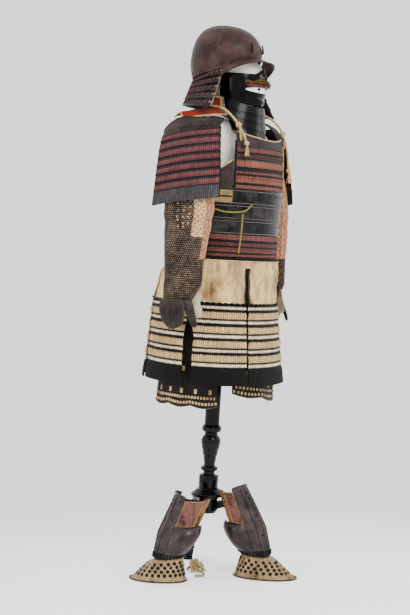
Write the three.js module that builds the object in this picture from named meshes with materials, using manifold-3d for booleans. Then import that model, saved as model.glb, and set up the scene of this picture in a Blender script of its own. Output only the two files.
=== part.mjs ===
// A samurai armour on a dress form stand.
// Millimetres, +Z up. The wearer faces -Y and the wearer's right is -X. The floor is z = 0.
import * as THREE from 'three';
import { mergeVertices } from 'three/addons/utils/BufferGeometryUtils.js';
import Module from 'manifold-3d';

const wasm = await Module();
wasm.setup();

// ---------------------------------------------------------------- driving dimensions

const GAP = 0.3; // between pieces that touch
const CLOTH = 2; // wall of cloth and leather
const PLATE = 1.8; // wall of lacquered iron
const LACED = 3; // wall of a row of laced scales

const FORWARD_LEAN = THREE.MathUtils.degToRad(2.5); // of the post and all that it carries
const HUB = { bottom: 182, top: 232, radius: 30 };
const DISC = { bottom: HUB.top + GAP, top: 256, radius: 51.5 };
const LEG = { reach: 186, width: 22, depth: 24, pad: 16, padHeight: 9 };
const LEG_BEARINGS = [171, 291, 51].map(THREE.MathUtils.degToRad); // counter-clockwise from +X
const POST_FOOT = 246; // where the post stands on the disc, in the post's own heights
const POST_TOP = 904;

const CROWN_Z = 1643; // top of the helmet
const BOWL = { halfWidth: 100, halfDepth: 109, centreY: 28 };
const BOWL_RIM = { front: 1542, back: 1479 };
const BRIM = { halfAngle: THREE.MathUtils.degToRad(66), reach: 40, front: 1530, end: 1478 };
const NECK_GUARD = { bottom: 1386, lames: 5, frontEdge: THREE.MathUtils.degToRad(76) };

const MASK = { halfWidth: 80, halfDepth: 76, centreY: -25, brow: 1494, nose: 1513, chin: 1402 };
const THROAT = { top: 1398, bottom: 1318, lames: 4 };

const CHEST = { top: 1297, plate: 1281, halfAngle: THREE.MathUtils.degToRad(47) };
const MIDDLE_TOP = 1156; // top of the smooth black plates, and foot of the arm holes
const WAIST_TOP = 1022; // top of the laced rows at the waist
const WAIST_BOTTOM = 936;
const BACK_TOP = 1318;

const YOKE = { top: 946, bottom: 822, slitTop: 925, slitWidth: 4 };
const TASSET = { count: 7, lames: 5, top: 818, hemTop: 632, bottom: 584 };
const SODE = { top: 1352, plate: 1316, hemTop: 1146, bottom: 1108, rear: 95, lames: 7 };
const THIGH = { top: 900, bottom: 518 };

const SHIN = { bottom: 72 };

// Ovals about the post, from the waist up: half width, half depth and centre at each height.
const CUIRASS_SECTIONS = [
  { z: 934, halfWidth: 182, halfDepth: 137, centreY: -14 },
  { z: 1020, halfWidth: 180, halfDepth: 136, centreY: -16 },
  { z: 1156, halfWidth: 186, halfDepth: 138, centreY: -20 },
  { z: 1280, halfWidth: 180, halfDepth: 130, centreY: -20 },
  { z: 1320, halfWidth: 172, halfDepth: 122, centreY: -18 },
];

const SKIRT_SECTIONS = [
  { z: 580, halfWidth: 226, halfDepth: 203, centreY: 6 },
  { z: 818, halfWidth: 198, halfDepth: 182, centreY: 15 },
  { z: 900, halfWidth: 190, halfDepth: 166, centreY: 8 },
  { z: 932, halfWidth: 187, halfDepth: 150, centreY: -5 },
  { z: 950, halfWidth: 186, halfDepth: 144, centreY: -12 },
];

const THIGH_SECTIONS = [
  { z: 518, halfWidth: 193, halfDepth: 178, centreY: 3 },
  { z: 700, halfWidth: 186, halfDepth: 162, centreY: 0 },
  { z: 900, halfWidth: 166, halfDepth: 128, centreY: -6 },
];

const TORSO_SECTIONS = [
  { z: POST_TOP + GAP, halfWidth: 104, halfDepth: 82, centreY: 0 },
  { z: 962, halfWidth: 128, halfDepth: 96, centreY: -2 },
  { z: 1060, halfWidth: 136, halfDepth: 100, centreY: -4 },
  { z: 1160, halfWidth: 148, halfDepth: 106, centreY: -4 },
  { z: 1250, halfWidth: 158, halfDepth: 104, centreY: 0 },
  { z: 1310, halfWidth: 160, halfDepth: 90, centreY: 4 },
  { z: 1345, halfWidth: 144, halfDepth: 74, centreY: 6 },
  { z: 1357, halfWidth: 104, halfDepth: 62, centreY: 6 },
  { z: 1376, halfWidth: 66, halfDepth: 57, centreY: 4 },
  { z: 1388, halfWidth: 55, halfDepth: 55, centreY: 2 },
];

const HEAD_SECTIONS = [
  { z: 1388 + GAP, halfWidth: 53, halfDepth: 55, centreY: 2 },
  { z: 1412, halfWidth: 58, halfDepth: 64, centreY: -8 },
  { z: 1450, halfWidth: 66, halfDepth: 76, centreY: -12 },
  { z: 1488, halfWidth: 71, halfDepth: 86, centreY: -9 },
  { z: 1516, halfWidth: 72, halfDepth: 89, centreY: -7 },
  { z: 1534, halfWidth: 72, halfDepth: 80, centreY: 6 },
  { z: 1560, halfWidth: 70, halfDepth: 68, centreY: 20 },
  { z: 1590, halfWidth: 58, halfDepth: 56, centreY: 30 },
  { z: 1612, halfWidth: 32, halfDepth: 32, centreY: 34 },
];

// The arm sleeve: centre and half sizes of its oval at each height, on the wearer's left.
const KOTE_SECTIONS = [
  { z: 818, x: 239, y: -19, halfX: 32, halfY: 57 },
  { z: 860, x: 237, y: -20, halfX: 33, halfY: 62 },
  { z: 930, x: 234, y: -19, halfX: 34, halfY: 65 },
  { z: 1020, x: 231, y: -20, halfX: 35, halfY: 74 },
  { z: 1095, x: 228, y: -19, halfX: 36, halfY: 84 },
  { z: 1190, x: 220, y: -14, halfX: 35, halfY: 78 },
  { z: 1290, x: 195, y: -4, halfX: 34, halfY: 62 },
];

// How far out the shoulder guard hangs at each height, and where its front edge is.
const SODE_SECTIONS = [
  { z: 1080, x: 275, front: -130 },
  { z: 1146, x: 271, front: -126 },
  { z: 1200, x: 265, front: -119 },
  { z: 1280, x: 254, front: -106 },
  { z: 1325, x: 239, front: -96 },
  { z: 1352, x: 213, front: -90 },
];

// The shin guard by height above the ankle: half sizes fore and aft and across.
const SHIN_SECTIONS = [
  { rise: 0, fore: 40, across: 40 },
  { rise: 0.12, fore: 47, across: 45 },
  { rise: 0.4, fore: 56, across: 47 },
  { rise: 0.7, fore: 49, across: 43 },
  { rise: 1, fore: 43, across: 44 },
];

const COLOURS = {
  blackWood: 0x1c1c1c, form: 0xe9e6e0, russet: 0x503b3a, laced: 0x6b4a4c, lacquer: 0x26262a,
  redLacing: 0x9c5a4e, leather: 0xccb18f, cream: 0xd9c7ad, moustache: 0xa88552, teeth: 0xefeae2,
  collar: 0xa8352c, mail: 0x4f423b, indigo: 0x262830, redLeather: 0x7f655d, tan: 0xbea98d,
  cord: 0xd8c08c, tie: 0xb9b060, straw: 0xc9b68a,
};

// ---------------------------------------------------------------- geometry helpers

const rad = THREE.MathUtils.degToRad;
const lerp = THREE.MathUtils.lerp;
const vec = (x, y, z) => new THREE.Vector3(x, y, z);

// A row of a table at any height, with every column worked out between its neighbours.
function sectionAt(table, key, value) {
  const above = table.findIndex((row) => row[key] >= value);
  const high = above < 0 ? table.length - 1 : Math.max(above, 1);
  const [a, b] = [table[high - 1], table[high]];
  const t = (value - a[key]) / (b[key] - a[key]);
  const row = {};
  for (const column of Object.keys(a)) row[column] = lerp(a[column], b[column], t);
  return row;
}

// A point on an oval round the post. Bearing 0 is ahead, and it grows to the wearer's right.
function ovalPoint(section, bearing, z, out = 0) {
  const x = -(section.halfWidth + out) * Math.sin(bearing);
  const y = section.centreY - (section.halfDepth + out) * Math.cos(bearing);
  return vec(x, y, z);
}

function geometryFrom(points, triangles) {
  const position = new Float32Array(points.flatMap((p) => [p.x, p.y, p.z]));
  let volume = 0;
  for (const [a, b, c] of triangles) {
    volume += points[a].dot(points[b].clone().cross(points[c]));
  }
  const faces = volume > 0 ? triangles : triangles.map(([a, b, c]) => [a, c, b]);
  const geometry = new THREE.BufferGeometry();
  geometry.setAttribute('position', new THREE.BufferAttribute(position, 3));
  geometry.setIndex(faces.flat());
  return geometry;
}

// A thin wall on a grid. at(row, column, depth) gives a corner, at depth 0 on its outer face
// and at depth 1 on its inner one. A ring joins its last column to its first, and a wall with
// a pole starts at one point.
function wall({ rows, columns, ring = false, pole = false, at }) {
  const points = [];
  const triangles = [];
  const ids = [0, 1].map((depth) => {
    const grid = [];
    for (let row = 0; row <= rows; row += 1) {
      const line = [];
      for (let column = 0; column <= columns; column += 1) {
        if (ring && column === columns) line.push(line[0]);
        else if (pole && row === 0 && column > 0) line.push(line[0]);
        else line.push(points.push(at(row, column, depth)) - 1);
      }
      grid.push(line);
    }
    return grid;
  });
  const triangle = (a, b, c) => {
    if (a !== b && b !== c && c !== a) triangles.push([a, b, c]);
  };
  const quad = (a, b, c, d) => {
    triangle(a, b, c);
    triangle(a, c, d);
  };
  const [outer, inner] = ids;
  for (let r = 0; r < rows; r += 1) {
    for (let c = 0; c < columns; c += 1) {
      quad(outer[r][c], outer[r][c + 1], outer[r + 1][c + 1], outer[r + 1][c]);
      quad(inner[r][c], inner[r + 1][c], inner[r + 1][c + 1], inner[r][c + 1]);
    }
  }
  for (let c = 0; c < columns; c += 1) {
    if (!pole) quad(outer[0][c + 1], outer[0][c], inner[0][c], inner[0][c + 1]);
    quad(outer[rows][c], outer[rows][c + 1], inner[rows][c + 1], inner[rows][c]);
  }
  for (let r = 0; r < rows && !ring; r += 1) {
    quad(outer[r][0], outer[r + 1][0], inner[r + 1][0], inner[r][0]);
    quad(outer[r + 1][columns], outer[r][columns], inner[r][columns], inner[r + 1][columns]);
  }
  return geometryFrom(points, triangles);
}

// A filled solid through a stack of ovals, with a flat face at each end.
function stackedSolid(sections, sides) {
  const points = [];
  const triangles = [];
  for (const section of sections) {
    for (let i = 0; i < sides; i += 1) {
      points.push(ovalPoint(section, (2 * Math.PI * i) / sides, section.z));
    }
  }
  for (let row = 0; row < sections.length - 1; row += 1) {
    for (let i = 0; i < sides; i += 1) {
      const [a, b] = [row * sides + i, row * sides + ((i + 1) % sides)];
      triangles.push([a, b, b + sides], [a, b + sides, a + sides]);
    }
  }
  for (const [row, flip] of [[0, true], [sections.length - 1, false]]) {
    const { z, centreY } = sections[row];
    const centre = points.push(vec(0, centreY, z)) - 1;
    for (let i = 0; i < sides; i += 1) {
      const [a, b] = [row * sides + i, row * sides + ((i + 1) % sides)];
      triangles.push(flip ? [centre, b, a] : [centre, a, b]);
    }
  }
  return geometryFrom(points, triangles);
}

// Heights and offsets of overlapping rows: each flares out by `step` and the next starts in.
function lameRows(top, bottom, count, step) {
  const rows = [];
  const pitch = (top - bottom) / count;
  for (let i = 0; i < count; i += 1) {
    const start = top - i * pitch - (i > 0 ? step : 0);
    rows.push({ z: start, out: 0 });
    rows.push({ z: top - (i + 1) * pitch, out: step });
  }
  return rows;
}

// A wall of rows on a table of ovals, between two bearings.
function rowsOnOval({ table, rows, from, to, columns, thick, out = 0 }) {
  return wall({
    rows: rows.length - 1,
    columns,
    at: (r, c, depth) => {
      const { z, out: step } = rows[r];
      const bearing = lerp(from, to, c / columns);
      return ovalPoint(sectionAt(table, 'z', z), bearing, z, out + step - depth * thick);
    },
  });
}

function lathe(profile, segments) {
  const points = profile.map(([radius, z]) => new THREE.Vector2(radius, z));
  const geometry = new THREE.LatheGeometry(points, segments);
  geometry.rotateX(Math.PI / 2);
  return geometry;
}

function solidOf(geometry) {
  const bare = new THREE.BufferGeometry();
  bare.setAttribute('position', geometry.getAttribute('position').clone());
  if (geometry.index) bare.setIndex(geometry.index.clone());
  const merged = mergeVertices(bare, 1e-3);
  return new wasm.Manifold(new wasm.Mesh({
    numProp: 3,
    vertProperties: new Float32Array(merged.getAttribute('position').array),
    triVerts: new Uint32Array(merged.index.array),
  }));
}

function geometryOf(solid) {
  const mesh = solid.getMesh();
  const geometry = new THREE.BufferGeometry();
  geometry.setAttribute('position', new THREE.BufferAttribute(mesh.vertProperties, 3));
  geometry.setIndex(new THREE.BufferAttribute(mesh.triVerts, 1));
  return geometry;
}

// A round cord through hand-placed points.
function cordGeometry(route, radius, steps) {
  const section = new THREE.Shape();
  section.absarc(0, 0, radius, 0, 2 * Math.PI);
  const path = new THREE.CatmullRomCurve3(route.map((p) => vec(...p)), false, 'centripetal');
  return new THREE.ExtrudeGeometry(section, {
    steps, curveSegments: 4, extrudePath: path, bevelEnabled: false,
  });
}

function addMesh(group, name, geometry, colour, roughness, metalness = 0) {
  const material = new THREE.MeshStandardMaterial({ color: colour, roughness, metalness });
  const mesh = new THREE.Mesh(geometry, material);
  mesh.name = name;
  group.add(mesh);
  return mesh;
}

// ---------------------------------------------------------------- groups

const armour = new THREE.Group();
const onFloor = new THREE.Group(); // stands upright on the floor
const leaning = new THREE.Group(); // turns about the hub's top
const onPost = new THREE.Group();
armour.add(onFloor, leaning);
leaning.add(onPost);
leaning.position.z = DISC.top;
leaning.rotation.x = FORWARD_LEAN;
onPost.position.z = -POST_FOOT;

// ---------------------------------------------------------------- stand

function standLeg(bearing) {
  const profile = [[20, 204], [50, 213], [80, 224], [112, 194], [146, 112], [170, 46], [LEG.reach, 13]];
  const curve = new THREE.CatmullRomCurve3(profile.map(([reach, z]) => vec(reach, 0, z)));
  const section = new THREE.Shape();
  section.moveTo(-LEG.depth / 2, -LEG.width / 2);
  section.lineTo(LEG.depth / 2, -LEG.width / 2);
  section.lineTo(LEG.depth / 2, LEG.width / 2);
  section.lineTo(-LEG.depth / 2, LEG.width / 2);
  const arm = new THREE.ExtrudeGeometry(section, {
    steps: 9, extrudePath: curve, bevelEnabled: false,
  });
  const pad = new THREE.CylinderGeometry(LEG.pad - 2, LEG.pad, LEG.padHeight, 16);
  pad.rotateX(Math.PI / 2);
  pad.translate(LEG.reach, 0, LEG.padHeight / 2);
  arm.rotateZ(bearing);
  pad.rotateZ(bearing);
  const floor = new THREE.BoxGeometry(1000, 1000, 200);
  floor.translate(0, 0, -100);
  return solidOf(arm).add(solidOf(pad)).subtract(solidOf(floor));
}

function standBase() {
  const { bottom, top, radius } = HUB;
  const hub = lathe([[0, bottom], [radius - 6, bottom], [radius, bottom + 8], [radius, top - 8],
    [radius + 6, top], [0, top]], 20);
  return LEG_BEARINGS.reduce((solid, bearing) => solid.add(standLeg(bearing)), solidOf(hub));
}

function standDisc() {
  const { bottom, top, radius } = DISC;
  return lathe([[0, bottom], [radius - 3, bottom], [radius, bottom + 6], [radius - 4, bottom + 11],
    [34, top], [0, top]], 24);
}

// Turned outline of the post: radius and height from the disc to the dress form.
function standPost() {
  const profile = [[0, POST_FOOT - 20], [29.5, POST_FOOT - 20], [29.5, 286], [26, 289], [17, 292],
    [17, 300], [25, 304], [25, 312], [16.5, 316], [21, 345], [27, 372], [29.5, 390], [26, 404],
    [20, 412], [20, 418], [29, 423], [29, 437], [22.5, 443], [22.5, POST_TOP], [0, POST_TOP]];
  const seat = new THREE.BoxGeometry(400, 400, 200);
  seat.translate(0, 0, DISC.top + GAP - 100);
  leaning.updateMatrixWorld(true);
  seat.applyMatrix4(onPost.matrixWorld.clone().invert());
  return geometryOf(solidOf(lathe(profile, 16)).subtract(solidOf(seat)));
}

addMesh(onFloor, 'stand_base', geometryOf(standBase()), COLOURS.blackWood, 0.4);
addMesh(onFloor, 'stand_disc', standDisc(), COLOURS.blackWood, 0.4);
addMesh(onPost, 'stand_post', standPost(), COLOURS.blackWood, 0.4);
addMesh(onPost, 'form_torso', stackedSolid(TORSO_SECTIONS, 16), COLOURS.form, 0.9);
addMesh(onPost, 'form_head', stackedSolid(HEAD_SECTIONS, 16), COLOURS.form, 0.9);

// ---------------------------------------------------------------- helmet

// Fullness of the bowl from its crown to its rim, and how far back each level lies.
const BOWL_PROFILE = [
  { height: 1, fullness: 0, back: 18 },
  { height: 0.965, fullness: 0.35, back: 16 },
  { height: 0.86, fullness: 0.64, back: 12 },
  { height: 0.66, fullness: 0.87, back: 7 },
  { height: 0.4, fullness: 0.99, back: 2 },
  { height: 0.2, fullness: 1, back: 0 },
  { height: 0, fullness: 0.95, back: -2 },
];

function bowlRimHeight(bearing) {
  const ahead = ((1 + Math.cos(bearing)) / 2) ** 1.8;
  return lerp(BOWL_RIM.back, BOWL_RIM.front, ahead);
}

function bowlPoint(bearing, row, out) {
  const { height, fullness, back: shift } = BOWL_PROFILE[row];
  const rim = bowlRimHeight(bearing);
  const section = {
    halfWidth: BOWL.halfWidth * fullness,
    halfDepth: BOWL.halfDepth * fullness,
    centreY: BOWL.centreY + shift,
  };
  const slope = row === 0 ? 0 : 1;
  const lift = row < 3 ? out * (1 - fullness) : 0;
  return ovalPoint(section, bearing, lerp(rim, CROWN_Z, height) + lift, out * slope);
}

function helmetBowl() {
  const columns = 20;
  return wall({
    rows: BOWL_PROFILE.length - 1,
    columns,
    ring: true,
    pole: true,
    at: (r, c, depth) => bowlPoint((2 * Math.PI * c) / columns, r, -depth * 2.4),
  });
}

// The peak starts on the bowl's rim and runs out and down.
function helmetBrim() {
  const columns = 12;
  const rows = 2;
  return wall({
    rows,
    columns,
    at: (r, c, depth) => {
      const bearing = lerp(-BRIM.halfAngle, BRIM.halfAngle, c / columns);
      const swing = Math.abs(bearing) / BRIM.halfAngle;
      const start = Math.max(bowlRimHeight(bearing) + 3, BRIM.end + 8);
      const edge = lerp(BRIM.front, BRIM.end, swing ** 2.4);
      const t = r / rows;
      const reach = 1.2 + BRIM.reach * t * (1 - 0.35 * swing ** 2);
      const z = lerp(start, edge, t ** 1.3) - depth * PLATE;
      return ovalPoint(BOWL, bearing, z, reach);
    },
  });
}

// One of the two pegs on the front of the bowl that hold a crest.
function crestProng(side) {
  const prong = { spread: 30, foot: 6, tip: 4, z: 1581, y: -77, length: 32 };
  const peg = new THREE.CylinderGeometry(prong.tip, prong.foot, prong.length, 10);
  peg.rotateX(rad(62));
  peg.translate(side * prong.spread, prong.y, prong.z);
  const columns = 20;
  const clearance = wall({
    rows: BOWL_PROFILE.length - 1,
    columns,
    ring: true,
    pole: true,
    at: (r, c, depth) => bowlPoint((2 * Math.PI * c) / columns, r, depth ? -40 : 0.6),
  });
  return geometryOf(solidOf(peg).subtract(solidOf(clearance)));
}

function neckGuardPoint(bearing, fall, out) {
  const flare = fall ** 0.9;
  const section = {
    halfWidth: lerp(90, 186, flare),
    halfDepth: lerp(96, Math.cos(bearing) > 0 ? 138 : 121, flare),
    centreY: lerp(BOWL.centreY - 2, 0, fall),
  };
  const top = bowlRimHeight(bearing) - 1;
  const bottom = NECK_GUARD.bottom - 8 * Math.cos(bearing);
  return ovalPoint(section, bearing, lerp(top, bottom, fall), out);
}

function neckGuard() {
  const columns = 14;
  const { lames, frontEdge } = NECK_GUARD;
  const rows = lameRows(1, 0, lames, 0.035);
  return wall({
    rows: rows.length - 1,
    columns,
    at: (r, c, depth) => {
      const bearing = lerp(frontEdge, 2 * Math.PI - frontEdge, c / columns);
      const flare = rows[r].out > 0 ? 3.5 : 0;
      return neckGuardPoint(bearing, 1 - rows[r].z, flare - depth * LACED);
    },
  });
}

addMesh(onPost, 'helmet_bowl', helmetBowl(), COLOURS.russet, 0.5, 0.5);
addMesh(onPost, 'helmet_brim', helmetBrim(), COLOURS.russet, 0.5, 0.5);
addMesh(onPost, 'crest_prong_r', crestProng(-1), COLOURS.russet, 0.5, 0.5);
addMesh(onPost, 'crest_prong_l', crestProng(1), COLOURS.russet, 0.5, 0.5);
addMesh(onPost, 'neck_guard', neckGuard(), COLOURS.laced, 0.8);

// ---------------------------------------------------------------- face mask

const MOUTH = { halfWidth: 57, z: 1449, height: 17 };
const swell = (x, centre, spread) => Math.exp(-(((x - centre) / spread) ** 2));

function maskPoint(bearing, z, out) {
  const nose = 17 * swell(bearing, 0, rad(10)) * swell(z, 1482, 17);
  const lips = 6 * swell(bearing, 0, rad(34)) * swell(z, MOUTH.z, 20);
  const chin = 9 * swell(bearing, 0, rad(24)) * swell(z, 1412, 13);
  const jaw = lerp(0, -7, Math.max(0, (1440 - z) / 38));
  return ovalPoint(MASK, bearing, z, out + nose + lips + chin + jaw);
}

function faceMask() {
  const columns = 16;
  const rows = 8;
  const side = rad(93);
  const shell = wall({
    rows,
    columns,
    at: (r, c, depth) => {
      const bearing = lerp(-side, side, c / columns);
      const top = lerp(MASK.brow, MASK.nose, swell(bearing, 0, rad(14)));
      const bottom = lerp(MASK.chin, MASK.chin + 26, (Math.abs(bearing) / side) ** 2);
      return maskPoint(bearing, lerp(top, bottom, r / rows), -depth * PLATE);
    },
  });
  const mouth = new THREE.CylinderGeometry(1, 1, 90, 20);
  mouth.scale(MOUTH.halfWidth, 1, MOUTH.height / 2);
  mouth.translate(0, -105, MOUTH.z);
  return geometryOf(solidOf(shell).subtract(solidOf(mouth)));
}

// A strip that follows the mask's surface, inside or outside it.
function maskStrip({ halfAngle, top, bottom, out, thick, columns }) {
  return wall({
    rows: 1,
    columns,
    at: (r, c, depth) => {
      const bearing = lerp(-halfAngle, halfAngle, c / columns);
      return maskPoint(bearing, r ? bottom(bearing) : top(bearing), out - depth * thick);
    },
  });
}

function moustache() {
  const halfAngle = rad(46);
  const droop = (bearing) => 3 * (Math.abs(bearing) / halfAngle) ** 2;
  return maskStrip({
    halfAngle,
    top: (bearing) => 1479 - droop(bearing),
    bottom: (bearing) => 1465 - droop(bearing),
    out: 8,
    thick: 5.4,
    columns: 12,
  });
}

function teeth() {
  return maskStrip({
    halfAngle: rad(46),
    top: () => MOUTH.z + 11,
    bottom: () => MOUTH.z - 11,
    out: -PLATE - 0.6,
    thick: 2.4,
    columns: 10,
  });
}

function throatGuard() {
  const columns = 8;
  const rows = lameRows(THROAT.top, THROAT.bottom, THROAT.lames, 2.5);
  const table = [
    { z: THROAT.bottom, halfWidth: 92, halfDepth: 80, centreY: -27 },
    { z: THROAT.top, halfWidth: 76, halfDepth: 76, centreY: -26 },
  ];
  return wall({
    rows: rows.length - 1,
    columns,
    at: (r, c, depth) => {
      const across = (2 * c) / columns - 1;
      const fall = (THROAT.top - rows[r].z) / (THROAT.top - THROAT.bottom);
      const bearing = across * lerp(rad(70), rad(52), fall);
      const rise = 20 * across * across * fall;
      const section = sectionAt(table, 'z', rows[r].z);
      return ovalPoint(section, bearing, rows[r].z + rise, rows[r].out - depth * PLATE);
    },
  });
}

addMesh(onPost, 'face_mask', faceMask(), COLOURS.lacquer, 0.25);
addMesh(onPost, 'mask_moustache', moustache(), COLOURS.moustache, 0.9);
addMesh(onPost, 'mask_teeth', teeth(), COLOURS.teeth, 0.5);
addMesh(onPost, 'throat_guard', throatGuard(), COLOURS.lacquer, 0.3);

// ---------------------------------------------------------------- collar and shoulders

function standingCollar() {
  const columns = 14;
  const open = rad(76);
  return wall({
    rows: 1,
    columns,
    at: (r, c, depth) => {
      const bearing = lerp(open, 2 * Math.PI - open, c / columns);
      const section = { halfWidth: r ? 84 : 80, halfDepth: r ? 80 : 78, centreY: 6 };
      return ovalPoint(section, bearing, r ? 1384 : 1426, -depth * LACED);
    },
  });
}

// A padded leaf that lies on the shoulder between the collar and the shoulder guard.
function shoulderWing(side) {
  const rows = 5;
  const columns = 6;
  return wall({
    rows,
    columns,
    at: (r, c, depth) => {
      const t = r / rows;
      const across = 1 - (2 * c) / columns;
      const halfChord = 52 * Math.sqrt(1 - (0.97 * t) ** 3);
      const x = lerp(94, 205, t);
      const y = lerp(6, 48, t * t) + across * halfChord;
      const z = 1385 - 20 * t * t - 14 * across * across - depth * LACED;
      return vec(side * x, y, z);
    },
  });
}

// A strap from the back plates over the shoulder to the chest plate.
function shoulderStrap(side) {
  const rows = 8;
  const columns = 2;
  return wall({
    rows,
    columns,
    at: (r, c, depth) => {
      const swing = lerp(rad(-86), rad(86), r / rows);
      const [halfY, halfZ] = [112 - depth * LACED, 75 - depth * LACED];
      const x = lerp(86, 120, c / columns);
      return vec(side * x, -6 - halfY * Math.sin(swing), 1296 + halfZ * Math.cos(swing));
    },
  });
}

addMesh(onPost, 'collar', standingCollar(), COLOURS.collar, 0.8);
for (const [hand, side] of [['r', -1], ['l', 1]]) {
  addMesh(onPost, `shoulder_wing_${hand}`, shoulderWing(side), COLOURS.collar, 0.8);
  addMesh(onPost, `shoulder_strap_${hand}`, shoulderStrap(side), COLOURS.lacquer, 0.4);
}

// ---------------------------------------------------------------- cuirass

const SIDE_SEAM = rad(90);
const seamGap = rad(0.4);

function cuirassRows(name, rows, from, to, columns, colour, roughness, thick) {
  const table = CUIRASS_SECTIONS;
  const geometry = rowsOnOval({ table, rows, from, to, columns, thick });
  addMesh(onPost, name, geometry, colour, roughness);
}

const chest = CHEST.halfAngle;
const front = SIDE_SEAM - seamGap;
const back = SIDE_SEAM + seamGap;
const { redLacing, lacquer } = COLOURS;

cuirassRows('chest_plate', [{ z: CHEST.top, out: -1 }, { z: CHEST.plate, out: 0 }],
  -chest, chest, 8, lacquer, 0.35, PLATE);
cuirassRows('chest_lames', lameRows(CHEST.plate - GAP - 1, MIDDLE_TOP, 4, 2.5),
  -chest, chest, 8, redLacing, 0.8, LACED);
cuirassRows('middle_plates', lameRows(MIDDLE_TOP - GAP - 1, WAIST_TOP, 3, 2),
  -front, front, 14, lacquer, 0.3, PLATE);
cuirassRows('waist_lames', lameRows(WAIST_TOP - GAP - 1, WAIST_BOTTOM, 4, 2),
  -front, front, 14, redLacing, 0.8, LACED);
cuirassRows('back_lames', lameRows(BACK_TOP, MIDDLE_TOP + GAP + 1, 4, 2.5),
  Math.PI - rad(55), Math.PI + rad(55), 8, redLacing, 0.8, LACED);
cuirassRows('back_plates', lameRows(MIDDLE_TOP - GAP - 1, WAIST_BOTTOM, 6, 2),
  back, 2 * Math.PI - back, 14, lacquer, 0.3, PLATE);

// The laced tab that closes the right side, on the front plates.
function sideTab() {
  const rows = [{ z: 1149, out: 0 }, { z: 1112, out: 0 }];
  return rowsOnOval({
    table: CUIRASS_SECTIONS, rows, from: rad(49), to: rad(80), columns: 4, thick: 2.4, out: 5.2,
  });
}

addMesh(onPost, 'side_tab', sideTab(), COLOURS.cream, 0.8);

// ---------------------------------------------------------------- leather yoke and tassets

const tassetBearing = (i) => (2 * Math.PI * i) / TASSET.count;

function waistYoke() {
  const columns = 42;
  const heights = [YOKE.top, YOKE.slitTop, 872, YOKE.bottom];
  const ring = wall({
    rows: heights.length - 1,
    columns,
    ring: true,
    at: (r, c, depth) => {
      const z = heights[r];
      const bearing = (2 * Math.PI * c) / columns;
      return ovalPoint(sectionAt(SKIRT_SECTIONS, 'z', z), bearing, z, 2 - depth * CLOTH);
    },
  });
  let solid = solidOf(ring);
  const slitHeight = YOKE.slitTop - YOKE.bottom + 20;
  for (let i = 0; i < TASSET.count; i += 1) {
    const slit = new THREE.BoxGeometry(YOKE.slitWidth, 120, slitHeight);
    slit.translate(0, -170, YOKE.slitTop - slitHeight / 2);
    slit.rotateZ(-tassetBearing(i + 0.5));
    solid = solid.subtract(solidOf(slit));
  }
  return geometryOf(solid);
}

// One laced skirt panel: five rows of scales and a leather-bound hem.
function tasset(i) {
  const rows = lameRows(TASSET.top, TASSET.hemTop, TASSET.lames, 3);
  rows.push({ z: TASSET.hemTop - 4, out: 1 }, { z: TASSET.bottom, out: 3 });
  const columns = 4;
  return wall({
    rows: rows.length - 1,
    columns,
    at: (r, c, depth) => {
      const { z, out } = rows[r];
      const section = sectionAt(SKIRT_SECTIONS, 'z', z);
      const fall = (TASSET.top - z) / (TASSET.top - TASSET.bottom);
      const halfAngle = lerp(0.96, 0.975, fall) * (Math.PI / TASSET.count);
      const bearing = tassetBearing(i) + lerp(-halfAngle, halfAngle, c / columns);
      return ovalPoint(section, bearing, z, out + 2 - depth * LACED);
    },
  });
}

addMesh(onPost, 'waist_yoke', waistYoke(), COLOURS.leather, 0.85);
for (let i = 0; i < TASSET.count; i += 1) {
  addMesh(onPost, `tasset_${i + 1}`, tasset(i), COLOURS.cream, 0.85);
}

// ---------------------------------------------------------------- shoulder guards

const SODE_SHEAR = 0.15; // the rows climb toward the front

function sodePoint(side, across, z, out) {
  const { x, front: frontY } = sectionAt(SODE_SECTIONS, 'z', z);
  const y = lerp(SODE.rear, frontY, across);
  const bow = (across > 0.5 ? 38 : 30) * (2 * across - 1) ** 2;
  const lift = SODE_SHEAR * (-22 - y) * Math.min(1, (SODE.top - z) / (SODE.top - SODE.plate));
  return vec(side * (x - bow + out), y, z + lift);
}

function sodePlate(side) {
  const columns = 8;
  return wall({
    rows: 2,
    columns,
    at: (r, c, depth) => {
      const across = c / columns;
      const dip = 26 * Math.max(0, 1 - across / 0.4) ** 2;
      const heights = [SODE.top - dip, lerp(SODE.top - dip, SODE.plate, 0.5), SODE.plate];
      return sodePoint(side, across, heights[r], -depth * PLATE);
    },
  });
}

function sodeLames(side) {
  const rows = lameRows(SODE.plate - GAP - 1, SODE.hemTop, SODE.lames, 2.5);
  rows.push({ z: SODE.hemTop - 4, out: 2 }, { z: SODE.bottom, out: 5 });
  const columns = 6;
  return wall({
    rows: rows.length - 1,
    columns,
    at: (r, c, depth) => {
      const { z, out } = rows[r];
      return sodePoint(side, c / columns, z, out - depth * LACED);
    },
  });
}

// ---------------------------------------------------------------- arm sleeves and hand plates

function koteSleeve(side) {
  const columns = 12;
  return wall({
    rows: KOTE_SECTIONS.length - 1,
    columns,
    ring: true,
    at: (r, c, depth) => {
      const { z, x, y, halfX, halfY } = KOTE_SECTIONS[r];
      const turn = (2 * Math.PI * c) / columns;
      const [a, b] = [halfX - depth * CLOTH, halfY - depth * CLOTH];
      return vec(side * (x + a * Math.cos(turn)), y + b * Math.sin(turn), z);
    },
  });
}

// The plate over the back of the hand.
function handPlate(side) {
  const columns = 6;
  const rows = 4;
  return wall({
    rows,
    columns,
    at: (r, c, depth) => {
      const t = r / rows;
      const across = (2 * c) / columns - 1;
      const halfChord = 44 * Math.sqrt(1 - (0.86 * t) ** 3);
      const x = lerp(278, 262, t * t) - 8 * across * across - depth * PLATE;
      return vec(side * x, -9 - across * halfChord, lerp(826, 740, t));
    },
  });
}

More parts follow.
